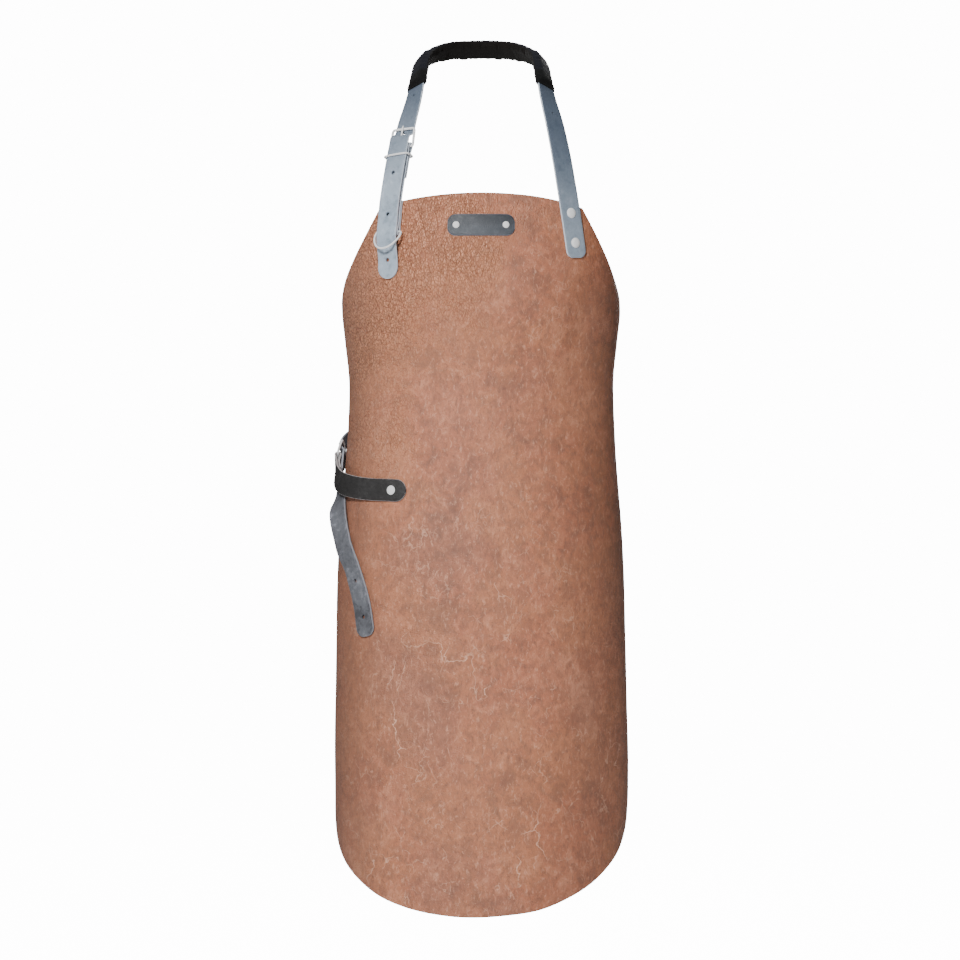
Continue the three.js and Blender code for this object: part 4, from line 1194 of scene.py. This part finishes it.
def with_group(n, tree, **sockets):
    node = n.node("ShaderNodeGroup")
    node.node_tree = tree
    for key, value in sockets.items():
        n.put(value, node.inputs[key.replace("_", " ")])
    return node


def bump(n, height, strength, distance, before=None):
    sockets = {"Height": height, "Strength": strength, "Distance": distance}
    if before is not None:
        sockets["Normal"] = before
    return n.node("ShaderNodeBump", sockets).outputs[0]


# The hide: brown, cloudy, pebbled most strongly at the upper left, pale scratches low down; painted shade and
# highlights
hide_look, n, shader = material("hide_leather")
spot = n.node("ShaderNodeTexCoord").outputs["Object"]
x, y, z = n.node("ShaderNodeSeparateXYZ", {0: spot}).outputs
clouds = with_group(n, cloud_group, Vector=spot, Size=0.8, Deep=srgb(140, 88, 66), Main=srgb(180, 110, 80),
                    Pale=srgb(204, 135, 104))
tilted = n.node("ShaderNodeMapping", {"Vector": spot, "Rotation": (0.0, 0.6, 0.0), "Scale": (1.0, 1.0, 0.5)}).outputs[0]
grain = with_group(n, grain_group, Vector=tilted, Pebble_size=2.0, Crease=0.9)
fine_grain = with_group(n, grain_group, Vector=spot, Pebble_size=2.4, Crease=0.4)
pebbled = n.span(n.math("ADD", n.math("ADD", n.math("MULTIPLY", x, -1.5), n.math("MULTIPLY", z, 1.0)),
                        n.math("MULTIPLY", n.noise(spot, 14.0, 4.0), 0.5)), -0.15, 0.22)
flesh = n.node("ShaderNodeAttribute", attribute_name="flesh").outputs["Fac"]
pebbled = n.math("MULTIPLY", pebbled, n.math("SUBTRACT", 1.0, flesh))
hue = n.span(n.noise(spot, 13.0, 3.0, 0.6), 0.4, 0.6)
mottle = n.noise(spot, 62.0, 6.0, 0.72, 0.8)
broad = n.noise(spot, 6.5, 2.0, 0.5)
flecks = n.noise(tilted, 290.0, 5.0, 0.8, 0.6)
tint = n.blend(n.math("MULTIPLY", hue, 0.5), clouds.outputs["Color"], srgb(186, 121, 84))
tint = n.blend(n.span(broad, 0.36, 0.52, 0.4, 0.0), tint, srgb(140, 98, 80))
tint = n.blend(n.span(mottle, 0.4, 0.56, 0.38, 0.0), tint, srgb(134, 90, 72))
tint = n.blend(n.span(mottle, 0.54, 0.74, 0.0, 0.38), tint, srgb(218, 154, 124))
tint = n.blend(n.span(flecks, 0.52, 0.68, 0.0, 0.6), tint, srgb(224, 166, 138))
tint = n.blend(n.span(flecks, 0.34, 0.47, 0.6, 0.0), tint, srgb(122, 80, 63))
ridge = n.math("SUBTRACT", 1.0, grain.outputs["Valley"])
warm = n.math("MULTIPLY", pebbled, 0.4)
tint = n.blend(warm, tint, srgb(218, 136, 98))
# Painted shade in the grain's valleys and painted highlights on its ridges, in the pebbled zone.
tint = n.blend(n.math("MULTIPLY", n.math("MULTIPLY", grain.outputs["Valley"], pebbled), 0.5), tint, srgb(118, 66, 48))
tint = n.blend(n.math("MULTIPLY", n.math("MULTIPLY", ridge, pebbled), 0.5), tint, srgb(255, 186, 144))
low = n.span(z, -0.4, -0.8, 0.3, 1.0)
wander = n.node("ShaderNodeTexNoise", {"Vector": spot, "Scale": 24.0, "Detail": 4.0}).outputs[1]
wander = n.node("ShaderNodeVectorMath", {0: wander}, operation="SCALE")
wander.inputs["Scale"].default_value = 0.06
lines_at = n.node("ShaderNodeVectorMath", {0: tilted, 1: wander.outputs[0]}, operation="ADD").outputs[0]
scratches = None
for scale_, thin_, strength_ in ((17.0, 0.011, 0.85), (38.0, 0.02, 0.5)):
    line_ = n.span(n.cells(lines_at, scale_, "DISTANCE_TO_EDGE"), 0.0, thin_, 1.0, 0.0)
    part_ = n.span(n.noise(spot, scale_ * 0.9, 2.0), 0.53, 0.62)
    line_ = n.math("MULTIPLY", n.math("MULTIPLY", line_, part_), strength_)
    scratches = line_ if scratches is None else n.math("MAXIMUM", scratches, line_)
tint = n.blend(n.math("MULTIPLY", scratches, low), tint, srgb(232, 180, 152))
# Painted shade: the hide grows darker towards both sides, where it turns away from the light, more at the right.
painted_shade_right = n.math("MULTIPLY", n.span(x, 0.05, 0.15, 0.0, 0.5), n.span(z, -0.85, -0.5, 0.8, 1.0))
painted_shade_right = n.math("MULTIPLY", painted_shade_right, n.span(z, -0.31, -0.22, 1.0, 0.15))
painted_shade_left = n.math("MULTIPLY", n.span(x, -0.165, -0.09, 0.65, 0.0), n.span(z, -0.42, -0.22, 1.0, 0.5))
tint = n.blend(n.math("MAXIMUM", painted_shade_right, painted_shade_left), tint, srgb(110, 80, 67))
suede = n.blend(n.noise(spot, 320.0, 3.0, 0.7), srgb(128, 84, 60), srgb(172, 126, 98))
tint = n.blend(n.span(flesh, 0.4, 0.9), tint, suede)
worn = with_group(n, wear_group, Vector=spot, Color=tint, Edge_color=srgb(160, 106, 78), Amount=0.6)
n.put(worn.outputs["Color"], shader.inputs["Base Color"])
matt = n.span(clouds.outputs["Share"], 0.3, 0.65, 0.5, 0.6)
n.put(n.math("SUBTRACT", matt, n.math("MULTIPLY", n.math("MULTIPLY", ridge, pebbled), 0.24)),
      shader.inputs["Roughness"])
shader.inputs["Specular IOR Level"].default_value = 0.5
mixed = n.math("ADD", n.math("MULTIPLY", grain.outputs["Height"], n.math("ADD", pebbled, 0.06)),
               n.math("MULTIPLY", fine_grain.outputs["Height"], 0.22))
n.put(bump(n, mixed, 1.0, 0.0016, bump(n, mottle, 0.35, 0.002)), shader.inputs["Normal"])


def strap_look(name, deep, main, pale, edge_color, roughness, scuff, shade_color=None, shade=None):
    """Strap leather; painted shade grows upwards between the two shade heights, and to the right."""
    m, n, shader = material(name)
    spot = n.node("ShaderNodeTexCoord").outputs["Object"]
    clouds = with_group(n, cloud_group, Vector=spot, Size=0.35, Deep=deep, Main=main, Pale=pale)
    grain = with_group(n, grain_group, Vector=spot, Pebble_size=1.3, Crease=0.3)
    scuffs = n.span(n.noise(spot, 75.0, 6.0, 0.75, 0.6), 0.52, 0.72)
    tint = n.blend(n.math("MULTIPLY", scuffs, scuff), clouds.outputs["Color"], pale)
    if shade:
        x, _, z = n.node("ShaderNodeSeparateXYZ", {0: spot}).outputs
        # Painted shade: darker upwards between the shade heights, and darker at the right shoulder.
        painted_shade_at_right = n.math("MULTIPLY", n.span(x, 0.0, 0.05), n.span(z, -0.27, -0.1, 0.2, 0.85))
        tint = n.blend(n.math("MAXIMUM", n.span(z, *shade, 0.0, 0.85), painted_shade_at_right), tint, shade_color)
    worn = with_group(n, wear_group, Vector=spot, Color=tint, Edge_color=edge_color, Amount=0.9)
    n.put(worn.outputs["Color"], shader.inputs["Base Color"])
    n.put(n.span(clouds.outputs["Share"], 0.35, 0.65, roughness + 0.06, roughness - 0.08), shader.inputs["Roughness"])
    shader.inputs["Specular IOR Level"].default_value = 0.4
    n.put(bump(n, grain.outputs["Height"], 0.4, 0.0004, bump(n, scuffs, 0.25, 0.0008)), shader.inputs["Normal"])
    return m


# The straps are one dark leather: the neck and buckle straps' pale grey and the waist strap's mid grey are painted
# light.
lit_strap_gray = strap_look("strap_leather", srgb(136, 150, 164), srgb(164, 178, 192), srgb(188, 200, 214),
                        srgb(212, 222, 234), 0.4, 0.3, srgb(66, 77, 94), (-0.21, -0.05))
half_lit_waist_gray = strap_look("waist_strap_leather", srgb(70, 71, 76), srgb(98, 100, 106), srgb(140, 143, 152),
                        srgb(150, 153, 161), 0.46, 0.2)
tab_dark = strap_look("side_tab_leather", srgb(30, 29, 29), srgb(42, 41, 41), srgb(56, 55, 55),
                      srgb(172, 166, 166), 0.46, 0.15)
label_gray = strap_look("label_leather", srgb(50, 55, 61), srgb(68, 74, 81), srgb(84, 90, 98),
                        srgb(140, 146, 158), 0.45, 0.12, srgb(40, 44, 50), (-0.233, -0.208))

# The pad: woven black cloth with painted navy sheen outside, browner inside, near black towards its ends
pad_look, n, shader = material("pad_fabric")
spot = n.node("ShaderNodeTexCoord").outputs["Object"]
flesh = n.node("ShaderNodeAttribute", attribute_name="flesh").outputs["Fac"]
along_ = n.node("ShaderNodeAttribute", attribute_name="along").outputs["Fac"]
weave = n.math("MULTIPLY", n.span(n.noise(spot, 900.0, 2.0), 0.3, 0.7), n.cells(spot, 1400.0))
# The pad turns near black towards both ends.
near_black_ends = n.span(n.math("ABSOLUTE", along_), 0.86, 0.9)
# The outside is black cloth with navy patches of painted sheen.
outer_black_with_painted_sheen = n.blend(n.noise(spot, 60.0, 4.0, 0.65), srgb(5, 6, 11), srgb(19, 21, 32))
tint = n.blend(flesh, outer_black_with_painted_sheen, n.blend(n.noise(spot, 45.0, 4.0), srgb(6, 4, 3), srgb(19, 13, 10)))
tint = n.blend(near_black_ends, tint, srgb(3, 3, 3))
n.put(tint, shader.inputs["Base Color"])
shader.inputs["Roughness"].default_value = 0.85
shader.inputs["Sheen Weight"].default_value = 0.04
shader.inputs["Specular IOR Level"].default_value = 0.2
n.put(bump(n, weave, 0.5, 0.0004, bump(n, n.noise(spot, 130.0, 3.0), 0.3, 0.0015)), shader.inputs["Normal"])

# Nickel: plated, with fine rub marks, a little dullness, and a painted reflection that darkens it seen edge on
_, n, shader = material("nickel")
spot = n.node("ShaderNodeTexCoord").outputs["Object"]
dull = n.span(n.noise(spot, 240.0, 4.0, 0.6), 0.42, 0.62)
# Painted reflection: seen edge on, the plate is darkened for the dark room that it would mirror.
edge_on_painted_shade = n.node("ShaderNodeLayerWeight", {"Blend": 0.35}).outputs["Facing"]
plate = n.blend(dull, srgb(240, 248, 255), srgb(170, 180, 198))
n.put(n.blend(n.span(edge_on_painted_shade, 0.02, 0.4), plate, srgb(96, 98, 106)), shader.inputs["Base Color"])
n.put(n.span(dull, 0, 1, 0.12, 0.3, "LINEAR"), shader.inputs["Roughness"])
shader.inputs["Metallic"].default_value = 1.0
marks_ = n.noise(n.node("ShaderNodeVectorMath", {0: spot, 1: (1.0, 1.0, 6.0)}, operation="MULTIPLY").outputs[0], 500.0, 2.0)
n.put(bump(n, marks_, 0.05, 0.0002), shader.inputs["Normal"])
print("materials", len(bpy.data.materials))


# %% Which piece stands for which part of the frame
def dress(piece, look, slot, *nodes):
    if look:
        piece.data.materials.clear()
        piece.data.materials.append(look)
    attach(piece, "root")
    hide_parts(*nodes)


dress(hide, hide_look, "hide", "apron_body")
dress(neck_strap, lit_strap_gray, "strap", "neck_strap")
dress(buckle_strap, lit_strap_gray, "strap", "buckle_strap")
dress(waist_strap, half_lit_waist_gray, "waist_strap", "waist_strap")
dress(tab, tab_dark, "tab", "side_tab")
dress(label, label_gray, "label", "label_patch")
dress(pad, pad_look, "pad", "neck_pad")
dress(rivets, None, "nickel", *[name for name in frame["nodes"] if "rivet" in name])
for piece, node in ((neck_buckle, "neck_buckle"), (neck_prong, "neck_buckle_prong"), (keeper, "strap_keeper"),
                    (waist_buckle, "waist_buckle"), (waist_prong, "waist_buckle_prong"), (d_ring, "d_ring")):
    dress(piece, nickel, "nickel", node)

# %% [markdown]
# The photograph looks level at the chest from about three metres, so the camera does too. The light is a
# large soft one from the upper left with a weak fill, over a pale floor, with a weaker one behind for the views from the back.

# %% Floor, light and camera
WHITE, GLOW = 14.0, 0.07


stage = new_object("floor", [(x, y, -1.35) for x in (-9, 9) for y in (-9, 9)], [(0, 2, 3, 1)], 1.0)
stage_look, n, shader = material("stage_white")
shader.inputs["Base Color"].default_value = (0.9, 0.9, 0.9, 1)
shader.inputs["Roughness"].default_value = 0.9
shader.inputs["Emission Color"].default_value = (1, 1, 1, 1)
seen = n.node("ShaderNodeLightPath").outputs["Is Camera Ray"]
n.put(n.span(seen, 0, 1, GLOW, WHITE, "LINEAR"), shader.inputs["Emission Strength"])
stage.data.materials.append(stage_look)


def soft_light(name, place, target, size, power, color=(1, 1, 1)):
    data = bpy.data.lights.new(name, "AREA")
    data.shape, data.size, data.energy, data.color = "DISK", size, power, color
    obj = bpy.data.objects.new(name, data)
    obj.location = place
    obj.rotation_euler = (Vector(target) - Vector(place)).to_track_quat("-Z", "Y").to_euler()
    bpy.context.scene.collection.objects.link(obj)


soft_light("key", (-0.8, -2.7, 0.8), (0, -0.15, -0.5), 0.55, 106)
soft_light("fill", (0.9, -3.0, -0.6), (0, -0.1, -0.55), 1.2, 2)
soft_light("top", (-0.4, -0.2, 1.4), (0, -0.1, -0.2), 0.8, 9)
soft_light("behind", (0.9, 2.7, 0.6), (0, 0, -0.5), 1.2, 40)
world = bpy.data.worlds.new("studio")
bpy.context.scene.world = world
world.use_nodes = True
background = world.node_tree.nodes["Background"]
background.inputs["Color"].default_value = (1, 1, 1, 1)
n = Nodes(world.node_tree)
seen = n.node("ShaderNodeLightPath").outputs["Is Camera Ray"]
n.put(n.span(seen, 0, 1, GLOW, WHITE, "LINEAR"), background.inputs["Strength"])

lens = bpy.data.cameras.new("camera")
lens.sensor_width, lens.lens = 36, 36 * 3000 / 1056
camera = bpy.data.objects.new("camera", lens)
camera.location = (-0.0011, -3.175, -0.5006)
camera.rotation_euler = (math.radians(90), 0, 0)
bpy.context.scene.collection.objects.link(camera)
bpy.context.scene.camera = camera
